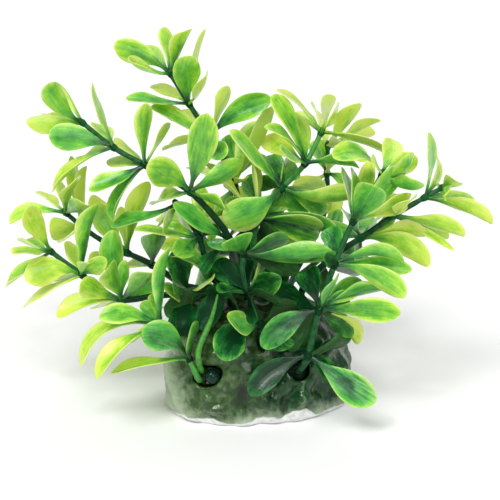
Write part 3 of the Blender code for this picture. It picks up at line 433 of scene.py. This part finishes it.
def leaf_frame(rings, tip, root):
    """A leaf's root, bend and tip, its broad direction and half its width, from the solid's rings."""
    centres = [ring.mean(axis=0) for ring in rings]
    u = RING_SHARES[1]
    bend = (centres[1] - root * (1 - u) ** 2 - tip * u**2) / (2 * u * (1 - u))
    first = rings[1][0]
    gaps = sorted(range(1, 4), key=lambda i: np.linalg.norm(rings[1][i] - first))
    mate = rings[1][gaps[1]]
    broad = unit(first - mate)
    return root, bend, tip, broad, np.linalg.norm(first - mate) / 2


def turned(side, up, angles):
    """Two square directions turned about the one square to both, row by row."""
    cosines, sines = np.cos(angles)[:, None], np.sin(angles)[:, None]
    return side * cosines + up * sines, up * cosines - side * sines


def leaf_outline(first, half, chance):
    """Places along a leaf from its stalk on, its half widths there, and how full and closed it is."""
    widest = BLADE_WIDEST + chance.uniform(-0.06, 0.05)
    turn = BLADE_START + (1 - BLADE_START) * widest
    taper = np.linspace(first, turn, TAPER_STEPS, endpoint=False)
    bow = np.linspace(0, math.pi / 2, END_STEPS)
    u = np.concatenate((taper, turn + (1 - turn) * np.sin(bow)))
    v = np.clip((u - BLADE_START) / (1 - BLADE_START), 0, 1)
    close = np.concatenate((np.ones(TAPER_STEPS), np.cos(bow) ** chance.uniform(0.95, 1.25)))
    rise = np.sin(np.clip(v / widest, 0, 1) * math.pi / 2) ** chance.uniform(1.35, 2.0)
    fullness = np.where(v < widest, rise, close)
    flare = PETIOLE_FLARE * np.clip(1 - u / 0.16, 0, 1) ** 1.5
    widths = (PETIOLE_HALF + flare) * close + (half - PETIOLE_HALF) * fullness
    return u, widths, fullness, v, close


def leaf_level(tone, heart, v, s, fullness, x, chance):
    """How yellow each point of a leaf is: dark at the base and along the middle, light at the margin."""
    base = np.clip(v / BASE_REACH, 0, 1)[:, None]
    shade = -BASE_SHADE * (1 - base) ** 1.4 * (0.35 + 0.65 * min(1.0, tone + 0.3))
    outward = 0.08 * (v[:, None] - 0.62)
    outer = np.clip((np.abs(s)[None, :] - MARGIN_START) / (1 - MARGIN_START), 0, 1)
    margin = chance.uniform(*MARGIN_LIGHT) * outer ** 1.3 * fullness[:, None]
    lightness = min(1.0, max(0.12, (tone - 0.12) / 0.4))
    tip = TIP_LIGHT * lightness * np.clip((v[:, None] - 0.86) / 0.14, 0, 1)
    middle = -RIB_SHADE * np.exp(-((x / (1.1 * MM)) ** 2)) * (1 - v[:, None])
    slant = chance.uniform(-0.11, 0.11) * s[None, :] * fullness[:, None]
    depth = HEART_DEPTH * chance.random() + heart
    deep = -depth * (1 - s[None, :] ** 2) * np.sin(math.pi * v[:, None] ** 1.2)
    lift = LEAF_LIFT * min(1.0, tone / 0.4)
    return tone + lift + shade + outward + margin * lightness + tip + middle + slant + deep


def leaf_mesh(root, bend, tip, broad, half, stem_way, clear, tone, heart, painted_sheen, seed):
    """Points and numbers of one leaf: closed rings from inside the collar to the round tip."""
    chance = random.Random(seed)
    length = np.linalg.norm(bend - root) + np.linalg.norm(tip - bend)
    u, widths, fullness, v, close = leaf_outline(clear / length, half, chance)
    centre = (root * ((1 - u) ** 2)[:, None] + bend * (2 * u * (1 - u))[:, None] + tip * (u**2)[:, None])
    ways = unit((bend - root) * (1 - u)[:, None] + (tip - bend) * u[:, None])
    flat = unit(broad[None, :] - ways * (ways @ broad)[:, None])
    normal = np.cross(ways, flat)
    middle = len(u) // 2
    if normal[middle] @ (stem_way - ways[middle] * (ways[middle] @ stem_way)) < 0:
        flat, normal = -flat, -normal
    twist = math.radians(chance.uniform(-LEAF_TWIST, LEAF_TWIST))
    flat, normal = turned(flat, normal, twist * (u - RING_SHARES[1]))
    sway = chance.uniform(-LEAF_SWAY, LEAF_SWAY) * MM * np.sin(math.pi * v)
    turns = (np.arange(LEAF_POINTS) + 0.5) * math.tau / LEAF_POINTS
    s = np.sign(np.cos(turns)) * np.abs(np.cos(turns)) ** 0.9
    top = np.sign(np.sin(turns))
    x = widths[:, None] * s[None, :]
    blade = fullness[:, None]
    thick = LEAF_THICK * (0.8 + 0.75 * (1 - blade)) * np.maximum(close, 0.12)[:, None]
    skin = top[None, :] * np.abs(np.sin(turns))[None, :] ** 0.55 * thick / 2
    fold = chance.choice(LEAF_FOLDS) * widths[:, None]
    cup = fold * (np.abs(s)[None, :] ** chance.uniform(1.1, 1.8) - 0.2) * blade
    wave = (chance.uniform(0.15, 0.45) * MM * s[None, :] ** 2 * blade
            * np.sin(math.tau * (chance.uniform(0.8, 1.5) * v[:, None] + chance.random()) + s[None, :]))
    groove = np.exp(-((x / RIB_WIDTH) ** 2)) * RIB_DEPTH * np.minimum(1, 3 * (1 - v))[:, None]
    rib = np.where(top[None, :] > 0, -0.55 * groove, -groove) * blade
    distance = u[:, None] * length - np.abs(x) * 1.15
    vein = (0.5 + 0.5 * np.cos(math.tau * distance / VEIN_SPACING)) ** 5
    veins = -VEIN_DEPTH * vein * np.clip(blade * 1.6 - 0.5, 0, 1) * (1 - np.abs(s)[None, :] ** 3)
    droop = -chance.uniform(-0.3, 0.9) * MM * np.clip((v - 0.7) / 0.3, 0, 1)[:, None] ** 2
    lift = skin + cup + wave + rib + veins + droop
    points = (centre[:, None] + flat[:, None] * (x + sway[:, None])[:, :, None]
              + normal[:, None] * lift[:, :, None])
    level = leaf_level(tone, heart, v, s, fullness, x, chance)
    half_share = np.clip(0.4 + 1.6 * s[None, :], 0, 1)
    numbers = {
        "along": np.repeat(v, LEAF_POINTS),
        "level": level.reshape(-1),
        "under": np.tile(top < 0, len(u)).astype(float),
        "vein": (vein * blade).reshape(-1),
        "wide": (x / MM).reshape(-1),
        # Painted sheen: a pale reflection painted on the top of one half, from a little way up the leaf on
        "painted_sheen": (painted_sheen * half_share * np.clip((v[:, None] - 0.2) / 0.25, 0, 1)
                  * (top > 0)[None, :]).reshape(-1),
        # Where the thin edge gets its painted light
        "edge": (np.maximum(np.clip((np.abs(s)[None, :] - 0.80) / 0.20, 0, 1),
                            np.clip((v[:, None] - 0.965) / 0.035, 0, 1)) * blade ** 0.5).reshape(-1),
    }
    return points.reshape(-1, 3), numbers


def near_spot(tip):
    """The tone, coolness, heart and painted sheen of the spot that the view shows a leaf's tip at, or None.
    """
    across, up = seen_place(tip)
    nearest = min(LEAF_SPOTS, key=lambda spot: math.hypot(across - spot[0], up - spot[1]))
    if math.hypot(across - nearest[0], up - nearest[1]) >= SPOT_SIZE:
        return None
    return (*nearest, 0.0, 0.0)[2:6]


def leaf_tone(middle, node, chance):
    """How yellow a leaf is, from its place in the photograph's view: dark low in the middle, partly its own
    green and partly painted shade, and lighter far back, painted light.
    """
    offset = middle - VIEW_TARGET
    across, up, near = offset @ VIEW_RIGHT, offset @ VIEW_UP, offset @ VIEW_NEAR
    reach = math.hypot(across - DARK_MIDDLE[0], up - DARK_MIDDLE[1])
    tone = max(0.0, (reach - DARK_REACH) / (LIGHT_REACH - DARK_REACH)) ** 0.85
    tone = min(0.9, max(0.04, tone)) + (BACK_TONE if near < BACK_DEPTH else 0.0)
    return tone + TONE_SHIFTS.get(node, 0.0) + chance.uniform(-0.09, 0.09)


def collar_mesh(centre, way, radius):
    """Points of a small barrel on the stem that the stalks grow from."""
    side = unit(np.cross(way, VIEW_NEAR))
    other = np.cross(way, side)
    turns = np.arange(STEM_POINTS) * math.tau / STEM_POINTS
    inner, outer = radius * 0.85, radius + COLLAR_WALL
    profile = ((inner, -1.15), (radius + 0.02 * MM, -1.0), (outer - 0.14 * MM, -0.55), (outer, 0.0),
               (outer - 0.14 * MM, 0.55), (radius + 0.02 * MM, 1.0), (inner, 1.15))
    rows = []
    for reach, level in profile:
        ring = side[None] * np.cos(turns)[:, None] + other[None] * np.sin(turns)[:, None]
        rows.append(centre + way * (level * COLLAR_HALF) + ring * reach)
    points = np.concatenate(rows)
    faces = [tuple(i % len(points) for i in face) for face in lathe_faces(len(profile) + 1, STEM_POINTS)]
    return points, faces


def read_whorl(node):
    """A whorl's collar centre and, for each leaf, its tip and its rings from the stem outward."""
    points, links = welded(node)
    cages = []
    used = set()
    for tip, near in enumerate(links):
        found = layers(links, tip, 3)
        if len(near) == 4 and [len(layer) for layer in found] == [4, 4, 4]:
            cages.append((points[tip], [points[layer] for layer in found[::-1]]))
            used |= {tip}.union(*found)
    collar = points[[i for i in range(len(points)) if i not in used]].mean(axis=0)
    return collar, cages


def more_leaf(node, centre, way, across, up, toward, width, k):
    """The root, bend, tip, broad direction and half width of a leaf given by its place in the view."""
    near = (centre - VIEW_TARGET) @ VIEW_NEAR + toward * MM
    seen = 1 - near / VIEW_DISTANCE
    tip = VIEW_TARGET + VIEW_RIGHT * (across * MM * seen) + VIEW_UP * (up * MM * seen) + VIEW_NEAR * near
    chance = random.Random(f"{node} more {k}")
    bend = centre * 0.55 + tip * 0.45 + way * chance.uniform(1.0, 2.6) * MM
    broad = np.cross(unit(tip - centre), VIEW_NEAR + VIEW_RIGHT * chance.uniform(-0.5, 0.5))
    return centre, bend, tip, unit(broad), width * MM / 2


def whorl_piece(node, path, widths):
    """A whorl's collar and its curved, veined leaves, read from the solid's cages."""
    collar, cages = read_whorl(node)
    nearest = int(np.argmin(np.linalg.norm(path - collar, axis=1)))
    centre = path[nearest]
    way = unit(path[min(nearest + 1, len(path) - 1)] - path[max(nearest - 1, 0)])
    chance = random.Random(node)
    radius = widths[max(min(nearest, len(widths) - 3), 0)]
    leaves = []
    for tip, rings in cages:
        tone = leaf_tone(rings[1].mean(axis=0), node, chance)
        spot = near_spot(tip)
        leaves.append((leaf_frame(rings, tip, centre), spot[0] if spot else tone))
    for k, (*place, tone) in enumerate(MORE_LEAVES.get(node, ())):
        leaves.append((more_leaf(node, centre, way, *place, k), tone))
    collar_points, faces = collar_mesh(centre, way, radius)
    rows = len(collar_points)
    all_points = [collar_points]
    numbers = {key: [np.zeros(rows)] for key in ("along", "under", "vein", "seed", "wide", "edge", "painted_sheen")}
    numbers["cool"] = [np.ones(rows)]
    numbers["level"] = [np.full(rows, 0.45 * min(tone for shape, tone in leaves) - 0.12)]
    kinds = [1] * len(faces)
    start = rows
    for k, (shape, tone) in enumerate(leaves):
        cool = min(1.0, max(0.0, chance.uniform(-0.3, 0.85) + 0.5 * (0.55 - tone)))
        # Some whorls' leaves get a painted sheen, a pale reflection painted into their colour
        heart, painted_sheen = 0.0, PAINTED_SHEEN_SHARE if node in SHEEN_PAINTED_WHORLS else 0.0
        spot = near_spot(shape[2])
        if spot:
            cool, heart, painted_sheen = spot[1:]
        points, leaf_numbers = leaf_mesh(*shape, way, radius * 0.8, tone, heart, painted_sheen, f"{node} {k}")
        faces += lathe_faces(LEAF_STEPS, LEAF_POINTS, start)
        faces.append(tuple(range(start, start + LEAF_POINTS))[::-1])
        faces.append(tuple(range(start + len(points) - LEAF_POINTS, start + len(points))))
        dull = tone < DARK_TONE and not painted_sheen
        kinds += [int(dull)] * (len(faces) - len(kinds))
        all_points.append(points)
        for key, values in leaf_numbers.items():
            numbers[key].append(values)
        numbers["seed"].append(np.full(len(points), chance.random() * 20))
        numbers["cool"].append(np.full(len(points), cool))
        start += len(points)
    numbers = {key: np.concatenate(values) for key, values in numbers.items()}
    piece = make_mesh(node.replace("whorl", "leaves"), np.concatenate(all_points), faces, numbers)
    return piece, kinds


def fresh_material(name):
    """A new material with its shader, and a short way to add nodes to it."""
    material = bpy.data.materials.new(name)
    material.use_nodes = True
    tree = material.node_tree
    shader = tree.nodes["Principled BSDF"]

    def add(kind, **settings):
        node = tree.nodes.new(kind)
        for key, value in settings.items():
            setattr(node, key, value)
        return node

    return material, tree, shader, add


def number_of(tree, add, name):
    """The output that carries one of the mesh's numbers."""
    return add("ShaderNodeAttribute", attribute_name=name).outputs["Fac"]


def calculate(tree, add, operation, *values):
    """A Math node on sockets or plain numbers."""
    node = add("ShaderNodeMath", operation=operation)
    for i, value in enumerate(values):
        if isinstance(value, (int, float)):
            node.inputs[i].default_value = value
        else:
            tree.links.new(value, node.inputs[i])
    return node.outputs[0]


def ramp(tree, add, source, stops):
    """Colours along a number."""
    node = add("ShaderNodeValToRGB")
    bands = node.color_ramp.elements
    while len(bands) < len(stops):
        bands.new(0.5)
    for band, (place, colour) in zip(bands, stops):
        band.position = place
        band.color = (*colour, 1.0)
    tree.links.new(source, node.inputs[0])
    return node.outputs["Color"]


def blend(tree, add, share, first, second):
    """One colour over another."""
    node = add("ShaderNodeMix", data_type="RGBA", blend_type="MIX")
    for socket, value in ((node.inputs[0], share), (node.inputs[6], first), (node.inputs[7], second)):
        if isinstance(value, (int, float)):
            socket.default_value = value
        elif isinstance(value, tuple):
            socket.default_value = (*value, 1.0)
        else:
            tree.links.new(value, socket)
    return node.outputs[2]


def speckle(tree, add, scale, detail=3.0, offset=None):
    """A noise of so many lumps a metre, moved by an offset number."""
    place = add("ShaderNodeTexCoord").outputs["Object"]
    node = add("ShaderNodeTexNoise")
    node.noise_dimensions = "4D"
    node.inputs["Scale"].default_value = scale
    node.inputs["Detail"].default_value = detail
    tree.links.new(place, node.inputs["Vector"])
    if offset is not None:
        tree.links.new(offset, node.inputs["W"])
    return node.outputs["Fac"]


def fibres(tree, add):
    """A noise drawn out upward, like strands of moss."""
    place = add("ShaderNodeTexCoord").outputs["Object"]
    squeeze = add("ShaderNodeVectorMath", operation="MULTIPLY")
    squeeze.inputs[1].default_value = (1.0, 1.0, 0.40)
    tree.links.new(place, squeeze.inputs[0])
    node = add("ShaderNodeTexNoise")
    node.inputs["Scale"].default_value = 800.0
    node.inputs["Detail"].default_value = 5.0
    node.inputs["Distortion"].default_value = 1.2
    tree.links.new(squeeze.outputs[0], node.inputs["Vector"])
    return node.outputs["Fac"]


def stretched(tree, add, source, low, high, to_low=0.0, to_high=1.0):
    """A number's part from low to high, stretched to another range and held within it."""
    node = add("ShaderNodeMapRange")
    for name, value in (("From Min", low), ("From Max", high), ("To Min", to_low), ("To Max", to_high)):
        node.inputs[name].default_value = value
    tree.links.new(source, node.inputs["Value"])
    return node.outputs[0]


def add_bump(tree, add, shader, source, depth):
    """Fine relief on the shader."""
    node = add("ShaderNodeBump")
    node.inputs["Strength"].default_value = 0.5
    node.inputs["Distance"].default_value = depth
    tree.links.new(source, node.inputs["Height"])
    tree.links.new(node.outputs[0], shader.inputs["Normal"])


def moved_level(tree, add, level, source, amount):
    """A level raised where a noise is high and lowered where it is low."""
    shift = calculate(tree, add, "MULTIPLY", calculate(tree, add, "SUBTRACT", source, 0.5), amount)
    return calculate(tree, add, "ADD", level, shift)


def brushed(tree, add, wide, along, seed):
    """A noise drawn out along the leaf, like strokes of a brush."""
    place = add("ShaderNodeCombineXYZ")
    tree.links.new(calculate(tree, add, "MULTIPLY", wide, 1.1), place.inputs["X"])
    tree.links.new(calculate(tree, add, "MULTIPLY", along, 3.2), place.inputs["Y"])
    tree.links.new(seed, place.inputs["Z"])
    node = add("ShaderNodeTexNoise")
    node.inputs["Scale"].default_value = 1.0
    node.inputs["Detail"].default_value = 4.0
    node.inputs["Roughness"].default_value = 0.62
    node.inputs["Distortion"].default_value = 0.5
    tree.links.new(place.outputs[0], node.inputs["Vector"])
    return node.outputs["Fac"]


def leaf_material(name, specular, coat, rough_low, rough_high):
    """Moulded leaves: deep green at the base, yellow-green to the margins and the tip, with a pale rim of
    painted light where light shines through the thin edge, and on some leaves a painted sheen.
    """
    material, tree, shader, add = fresh_material(name)
    wide = number_of(tree, add, "wide")
    seed = number_of(tree, add, "seed")
    vein = number_of(tree, add, "vein")
    edge = number_of(tree, add, "edge")
    stroke = brushed(tree, add, wide, number_of(tree, add, "along"), seed)
    blotch = speckle(tree, add, 260.0, 2.0, seed)
    grain = speckle(tree, add, 1500.0, 3.0, seed)
    level = moved_level(tree, add, number_of(tree, add, "level"), stroke, 0.70)
    level = moved_level(tree, add, level, blotch, 0.60)
    level = moved_level(tree, add, level, grain, 0.16)
    level = calculate(tree, add, "SUBTRACT", level, calculate(tree, add, "MULTIPLY", vein, 0.05))
    warm = ramp(tree, add, level, WARM_GREENS)
    cool = ramp(tree, add, level, COOL_GREENS)
    colour = blend(tree, add, number_of(tree, add, "cool"), warm, cool)
    under = number_of(tree, add, "under")
    colour = blend(tree, add, calculate(tree, add, "MULTIPLY", under, 0.10), colour, UNDER_GREEN)
    # Painted sheen: a pale reflection painted over the brush strokes on one half of some leaves
    strokes = stretched(tree, add, stroke, 0.38, 0.62)
    painted_sheen = calculate(tree, add, "MULTIPLY", number_of(tree, add, "painted_sheen"), strokes)
    sheen_grey = ramp(tree, add, level, PAINTED_SHEEN_GREYS)
    colour = blend(tree, add, painted_sheen, colour, sheen_grey)
    # Painted light: a pale rim on the thin edges, stronger on lighter leaves
    pale = calculate(tree, add, "MULTIPLY", edge, stretched(tree, add, level, 0.25, 0.90, 0.0, 0.42))
    colour = blend(tree, add, pale, colour, PAINTED_EDGE_LIGHT)
    tree.links.new(colour, shader.inputs["Base Color"])
    tree.links.new(stretched(tree, add, grain, 0.0, 1.0, rough_low, rough_high), shader.inputs["Roughness"])
    shader.inputs["Specular IOR Level"].default_value = specular
    shader.inputs["Subsurface Weight"].default_value = LEAF_SPREAD
    shader.inputs["Subsurface Radius"].default_value = LEAF_SPREAD_RADII
    shader.inputs["Subsurface Scale"].default_value = LEAF_SPREAD_SCALE
    shader.inputs["Coat Weight"].default_value = coat
    shader.inputs["Coat Roughness"].default_value = 0.16
    add_bump(tree, add, shader, grain, 0.00014)
    relief = shader.inputs["Normal"].links[0].from_socket
    tree.links.new(relief, shader.inputs["Coat Normal"])
    return material


def stem_material():
    """Dark moulded rods, lighter and streaked toward their tips; darker at the root, partly their own
    colour and partly painted shade.
    """
    material, tree, shader, add = fresh_material("stem_plastic")
    along = number_of(tree, add, "along")
    streak = speckle(tree, add, 700.0, 2.0)
    # Lighter toward the tip; the darker root is partly painted shade
    lighter = calculate(tree, add, "MULTIPLY", calculate(tree, add, "POWER", along, 2.0), STEM_LIFT)
    level = calculate(tree, add, "ADD", number_of(tree, add, "tone"), lighter)
    level = moved_level(tree, add, level, streak, 0.7)
    colour = ramp(tree, add, level, STEM_GREENS)
    tree.links.new(colour, shader.inputs["Base Color"])
    shader.inputs["Roughness"].default_value = 0.38
    shader.inputs["Specular IOR Level"].default_value = 0.18
    add_bump(tree, add, shader, streak, 0.0001)
    return material


def rock_material():
    """Cast rock under glossy paint: beige-olive at the left, moss green at the right, a bare white foot,
    with painted shade in its creases and holes and a painted highlight on its lumps.
    """
    material, tree, shader, add = fresh_material("rock_paint")
    big = speckle(tree, add, 90.0, 4.0)
    small = speckle(tree, add, 520.0, 5.0)
    fibre = fibres(tree, add)
    cavity = number_of(tree, add, "cavity")
    height = number_of(tree, add, "height")
    mix = calculate(tree, add, "ADD", calculate(tree, add, "MULTIPLY", small, 0.8),
                    calculate(tree, add, "MULTIPLY", fibre, 0.2))
    moss = ramp(tree, add, mix, MOSS_GREENS)
    olive = ramp(tree, add, mix, OLIVE_GREENS)
    pale = number_of(tree, add, "pale")
    worn = moved_level(tree, add, pale, big, 1.15)
    worn = moved_level(tree, add, worn, mix, 0.7)
    paint = blend(tree, add, stretched(tree, add, worn, 0.28, 0.72), moss, olive)
    # Painted highlight: the raised lumps paler, added to the dry-brushed paint at the foot and left edge
    raised = calculate(tree, add, "MULTIPLY", cavity, 0.20)
    dry = calculate(tree, add, "ADD", number_of(tree, add, "dry"), raised)
    dry = moved_level(tree, add, dry, big, 1.3)
    dry = moved_level(tree, add, dry, mix, 0.7)
    paint = blend(tree, add, stretched(tree, add, dry, 0.20, 0.95), paint, WORN_PAINT_AND_HIGHLIGHT)
    # Painted shade: creases and folds darker where shade falls, as the fold beside the front leaf
    paint = blend(tree, add, stretched(tree, add, cavity, -0.15, -1.05), paint, PAINTED_CREASE_SHADE)
    # Painted shade: near black where the rays show a place closed in, inside the holes
    hole = stretched(tree, add, number_of(tree, add, "pit"), 0.22, 0.50)
    paint = blend(tree, add, hole, paint, PAINTED_HOLE_SHADE)
    ragged = calculate(tree, add, "SUBTRACT", height, number_of(tree, add, "rim"))
    ragged = moved_level(tree, add, ragged, small, 1.6)
    bare = ramp(tree, add, small, BARE_ROCK)
    colour = blend(tree, add, stretched(tree, add, ragged, 0.25, -0.25), paint, bare)
    tree.links.new(colour, shader.inputs["Base Color"])
    tree.links.new(stretched(tree, add, small, 0.0, 1.0, 0.20, 0.55), shader.inputs["Roughness"])
    shader.inputs["Specular IOR Level"].default_value = 0.10
    shader.inputs["Coat Weight"].default_value = 0.60
    shader.inputs["Coat Roughness"].default_value = 0.08
    add_bump(tree, add, shader, mix, 0.0004)
    return material


def knob_material():
    """A dark, very glossy green."""
    material, tree, shader, add = fresh_material("knob_gloss")
    cloud = speckle(tree, add, 300.0, 2.0)
    colour = ramp(tree, add, cloud, KNOB_GREENS)
    tree.links.new(colour, shader.inputs["Base Color"])
    shader.inputs["Roughness"].default_value = 0.10
    shader.inputs["Specular IOR Level"].default_value = 0.22
    add_bump(tree, add, shader, cloud, 0.0002)
    return material


def lumps(point, size):
    """A smooth noise of that lump size, about -1 to 1."""
    return noise.fractal(Vector(point) / size, 0.9, 2.1, 3, noise_basis="PERLIN_ORIGINAL")


def creased(point, size):
    """A lumpy noise, rounded on top with creases between, about -0.4 to 1."""
    value = noise.noise(Vector(point) / size, noise_basis="PERLIN_ORIGINAL")
    return 2.2 * math.sqrt(value * value + 0.003) - 0.5


def seen_place(points):
    """Where the photograph's view shows points: millimetres across and up at the target's distance."""
    offset = (points - VIEW_TARGET) / MM
    shrink = 1 - offset @ VIEW_NEAR * MM / VIEW_DISTANCE
    return offset @ VIEW_RIGHT / shrink, offset @ VIEW_UP / shrink


def carved_push(points, normals):
    """How far the face's own bulges and folds push each point out, where it faces the viewer."""
    across, up = seen_place(points)
    facing = np.clip(normals @ VIEW_NEAR * 1.6, 0, 1)
    push = np.zeros(len(points))
    for middle, level, wide, high, depth in BULGES:
        push += depth * np.exp(-(((across - middle) / wide) ** 2) - ((up - level) / high) ** 2)
    return push * facing


def closed_in(mesh, points, normals):
    """For each point, the share of rays about its normal that soon meet the same mesh."""
    tree = BVHTree.FromPolygons([tuple(p) for p in points], [tuple(p.vertices) for p in mesh.polygons])
    lifts = ((0.35, RAY_TURNS // 2), (0.80, RAY_TURNS))
    shares = []
    for point, normal in zip(points, normals):
        start = Vector(point + normal * 0.15 * MM)
        normal = Vector(normal)
        side = normal.orthogonal().normalized()
        other = normal.cross(side)
        hits = 0
        rays = 0
        for lift, count in lifts:
            for k in range(count):
                turn = math.tau * (k + lift) / count
                outward = side * math.cos(turn) + other * math.sin(turn)
                way = normal * math.cos(lift) + outward * math.sin(lift)
                rays += 1
                hits += tree.ray_cast(start, way, HOLE_REACH)[0] is not None
        shares.append(hits / rays)
    return np.array(shares)


def rock_piece():
    """The rock's solid, remeshed, rounded, lumped and folded, with a flat foot."""
    rough = bpy.data.objects.new("rock_rough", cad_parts["rock"].data.copy())
    bpy.context.scene.collection.objects.link(rough)
    remesh = rough.modifiers.new("remesh", "REMESH")
    remesh.mode = "VOXEL"
    remesh.voxel_size = ROCK_VOXEL
    soften = rough.modifiers.new("soften", "SMOOTH")
    soften.factor = 0.5
    soften.iterations = ROCK_SMOOTHING
    graph = bpy.context.evaluated_depsgraph_get()
    mesh = bpy.data.meshes.new_from_object(rough.evaluated_get(graph))
    bpy.data.objects.remove(rough, do_unlink=True)
    count = len(mesh.vertices)
    points = np.empty(count * 3)
    mesh.vertices.foreach_get("co", points)
    points = points.reshape(-1, 3)
    normals = np.array([tuple(v.normal) for v in mesh.vertices])
    pit = closed_in(mesh, points, normals)
    wide = np.array([lumps(p, WIDE_LUMPS) for p in points])
    cavity = np.array([0.80 * creased(p, LUMP_SIZE) + 0.14 * lumps(p, SMALL_LUMPS) for p in points])
    fine = np.array([lumps(p, FINE_LUMPS) for p in points])
    carved = carved_push(points, normals)
    open_share = np.clip(1 - 3 * pit, 0, 1)
    push = (wide * WIDE_PUSH + cavity * LUMP_PUSH + fine * FINE_PUSH + carved) * MM * open_share
    foot = np.clip(points[:, 2] / (2.5 * MM), 0, 1)
    sideways = normals * (1, 1, 0)
    moved = points + np.where(foot[:, None] < 1, sideways, normals) * (push * (0.5 + 0.5 * foot))[:, None]
    moved[:, 2] = np.maximum(moved[:, 2], 0.0)
    mesh.vertices.foreach_set("co", moved.reshape(-1))
    across = seen_place(moved)[0]
    rim = RIM_HEIGHT + RIM_WANDER * np.array([lumps(p * (1, 1, 0.3), RIM_LUMPS) for p in points])
    shown = [more * np.clip(1 - ((across - middle) / half) ** 2, 0, 1) for middle, half, more in SCALLOPS]
    rim += np.max(shown, axis=0)
    low, high = moved.min(axis=0), moved.max(axis=0)
    left = (high[0] - moved[:, 0]) / (high[0] - low[0])
    level = moved[:, 2] / MM
    values = {
        # The folds' depth here also sets the painted shade in the creases
        "cavity": cavity + 0.6 * carved,
        "height": level,
        "rim": rim,
        "pit": pit,
        "pale": 1.05 * left + 0.25 * np.exp(-level / 4) - 0.05,
        "dry": 0.85 * np.clip(1 - level / 6.5, 0, 1) ** 0.8 + 0.95 * np.clip((left - 0.84) / 0.14, 0, 1),
    }
    for key, numbers in values.items():
        attribute = mesh.attributes.new(key, "FLOAT", "POINT")
        attribute.data.foreach_set("value", numbers.astype(np.float32))
    mesh.shade_smooth()
    mesh.materials.clear()
    rock = bpy.data.objects.new("rock_cast", mesh)
    bpy.context.scene.collection.objects.link(rock)
    return rock


def knob_piece():
    """A smooth, slightly uneven ball, the size of the solid."""
    low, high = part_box("knob")
    centre = np.array((low + high) / 2)
    radius = (high - low)[0] / 2
    rows, columns = KNOB_ROWS, KNOB_COLUMNS
    points = []
    for i in range(rows):
        lift = math.pi * (i + 0.5) / rows
        for j in range(columns):
            turn = math.tau * j / columns
            wide = math.sin(lift)
            ball = np.array([wide * math.cos(turn), wide * math.sin(turn), math.cos(lift)])
            points.append(centre + ball * radius * (1 + 0.02 * math.sin(3 * turn + 2 * lift)))
    faces = lathe_faces(rows, columns)
    faces.append(tuple(range(columns))[::-1])
    faces.append(tuple(range((rows - 1) * columns, rows * columns)))
    return make_mesh("knob_ball", np.array(points), faces, {})


def finish_piece(piece, material, slot, *nodes):
    """Give a piece its material, hang it on the root body and hide the solids it stands for."""
    piece.data.materials.append(material)
    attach(piece, "root")
    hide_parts(*nodes)


def add_light(name, source, softness, strength):
    """A broad far light that shines from a direction alike on all of the floor."""
    data = bpy.data.lights.new(name, "SUN")
    data.angle = math.radians(softness)
    data.energy = strength
    thing = bpy.data.objects.new(name, data)
    thing.rotation_euler = Vector(source).to_track_quat("Z", "Y").to_euler()
    bpy.context.scene.collection.objects.link(thing)


def studio():
    """A pale floor, soft lights all round and a camera at the photograph's place."""
    scene = bpy.context.scene
    corners = np.array([(-1, -1, 0), (1, -1, 0), (1, 1, 0), (-1, 1, 0)]) * FLOOR_HALF
    floor = make_mesh("floor", corners, [(0, 1, 2, 3)], {})
    material, tree, shader, add = fresh_material("floor_white")
    shader.inputs["Base Color"].default_value = FLOOR_WHITE
    shader.inputs["Roughness"].default_value = 0.9
    floor.data.materials.append(material)
    floor.location.z = -FLOOR_DROP
    world = bpy.data.worlds.new("studio")
    scene.world = world
    world.use_nodes = True
    world.node_tree.nodes["Background"].inputs["Color"].default_value = (1.0, 1.0, 1.0, 1.0)
    world.node_tree.nodes["Background"].inputs["Strength"].default_value = ROOM_STRENGTH
    add_light("key", KEY_FROM, KEY_SOFTNESS, KEY_STRENGTH)
    add_light("fill", FILL_FROM, FILL_SOFTNESS, FILL_STRENGTH)
    add_light("back", BACK_FROM, BACK_SOFTNESS, BACK_STRENGTH)
    for k, source in enumerate(GLINTS_FROM):
        add_light(f"glint_{k}", source, GLINT_SOFTNESS, GLINT_STRENGTH)
    camera = bpy.data.cameras.new("camera")
    camera.sensor_width = SENSOR
    camera.lens = SENSOR * VIEW_DISTANCE / VIEW_WIDTH
    holder = bpy.data.objects.new("camera", camera)
    scene.collection.objects.link(holder)
    holder.matrix_world = Matrix.Translation(Vector(VIEW_TARGET + VIEW_NEAR * VIEW_DISTANCE)) @ Matrix(
        (VIEW_RIGHT, VIEW_UP, VIEW_NEAR)).transposed().to_4x4()
    scene.camera = holder
    scene.view_settings.view_transform = "Standard"


def main():
    """Make every piece and hang it on the root body."""
    glossy = leaf_material("leaf_plastic", *GLOSSY_LEAF)
    dull = leaf_material("leaf_shaded", *DULL_LEAF)
    stem = stem_material()
    paths = {}
    whorls = [node for node in sorted(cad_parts) if node.startswith("whorl_")]
    for node in sorted(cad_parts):
        if node.startswith("stem_"):
            own = [whorl for whorl in whorls if whorl.rsplit("_", 1)[0] == node.replace("stem", "whorl")]
            end = read_whorl(own[-1])[0]
            piece, *paths[node] = stem_piece(node, STEM_TONES.get(node, DARK_STEM), end)
            finish_piece(piece, stem, "stem", node)
    for node in whorls:
        piece, kinds = whorl_piece(node, *paths[node.replace("whorl", "stem").rsplit("_", 1)[0]])
        finish_piece(piece, glossy, "leaf", node)
        piece.data.materials.append(dull)
        piece.data.polygons.foreach_set("material_index", kinds)
    finish_piece(rock_piece(), rock_material(), "rock", "rock")
    finish_piece(knob_piece(), knob_material(), "knob", "knob")
    studio()


main()
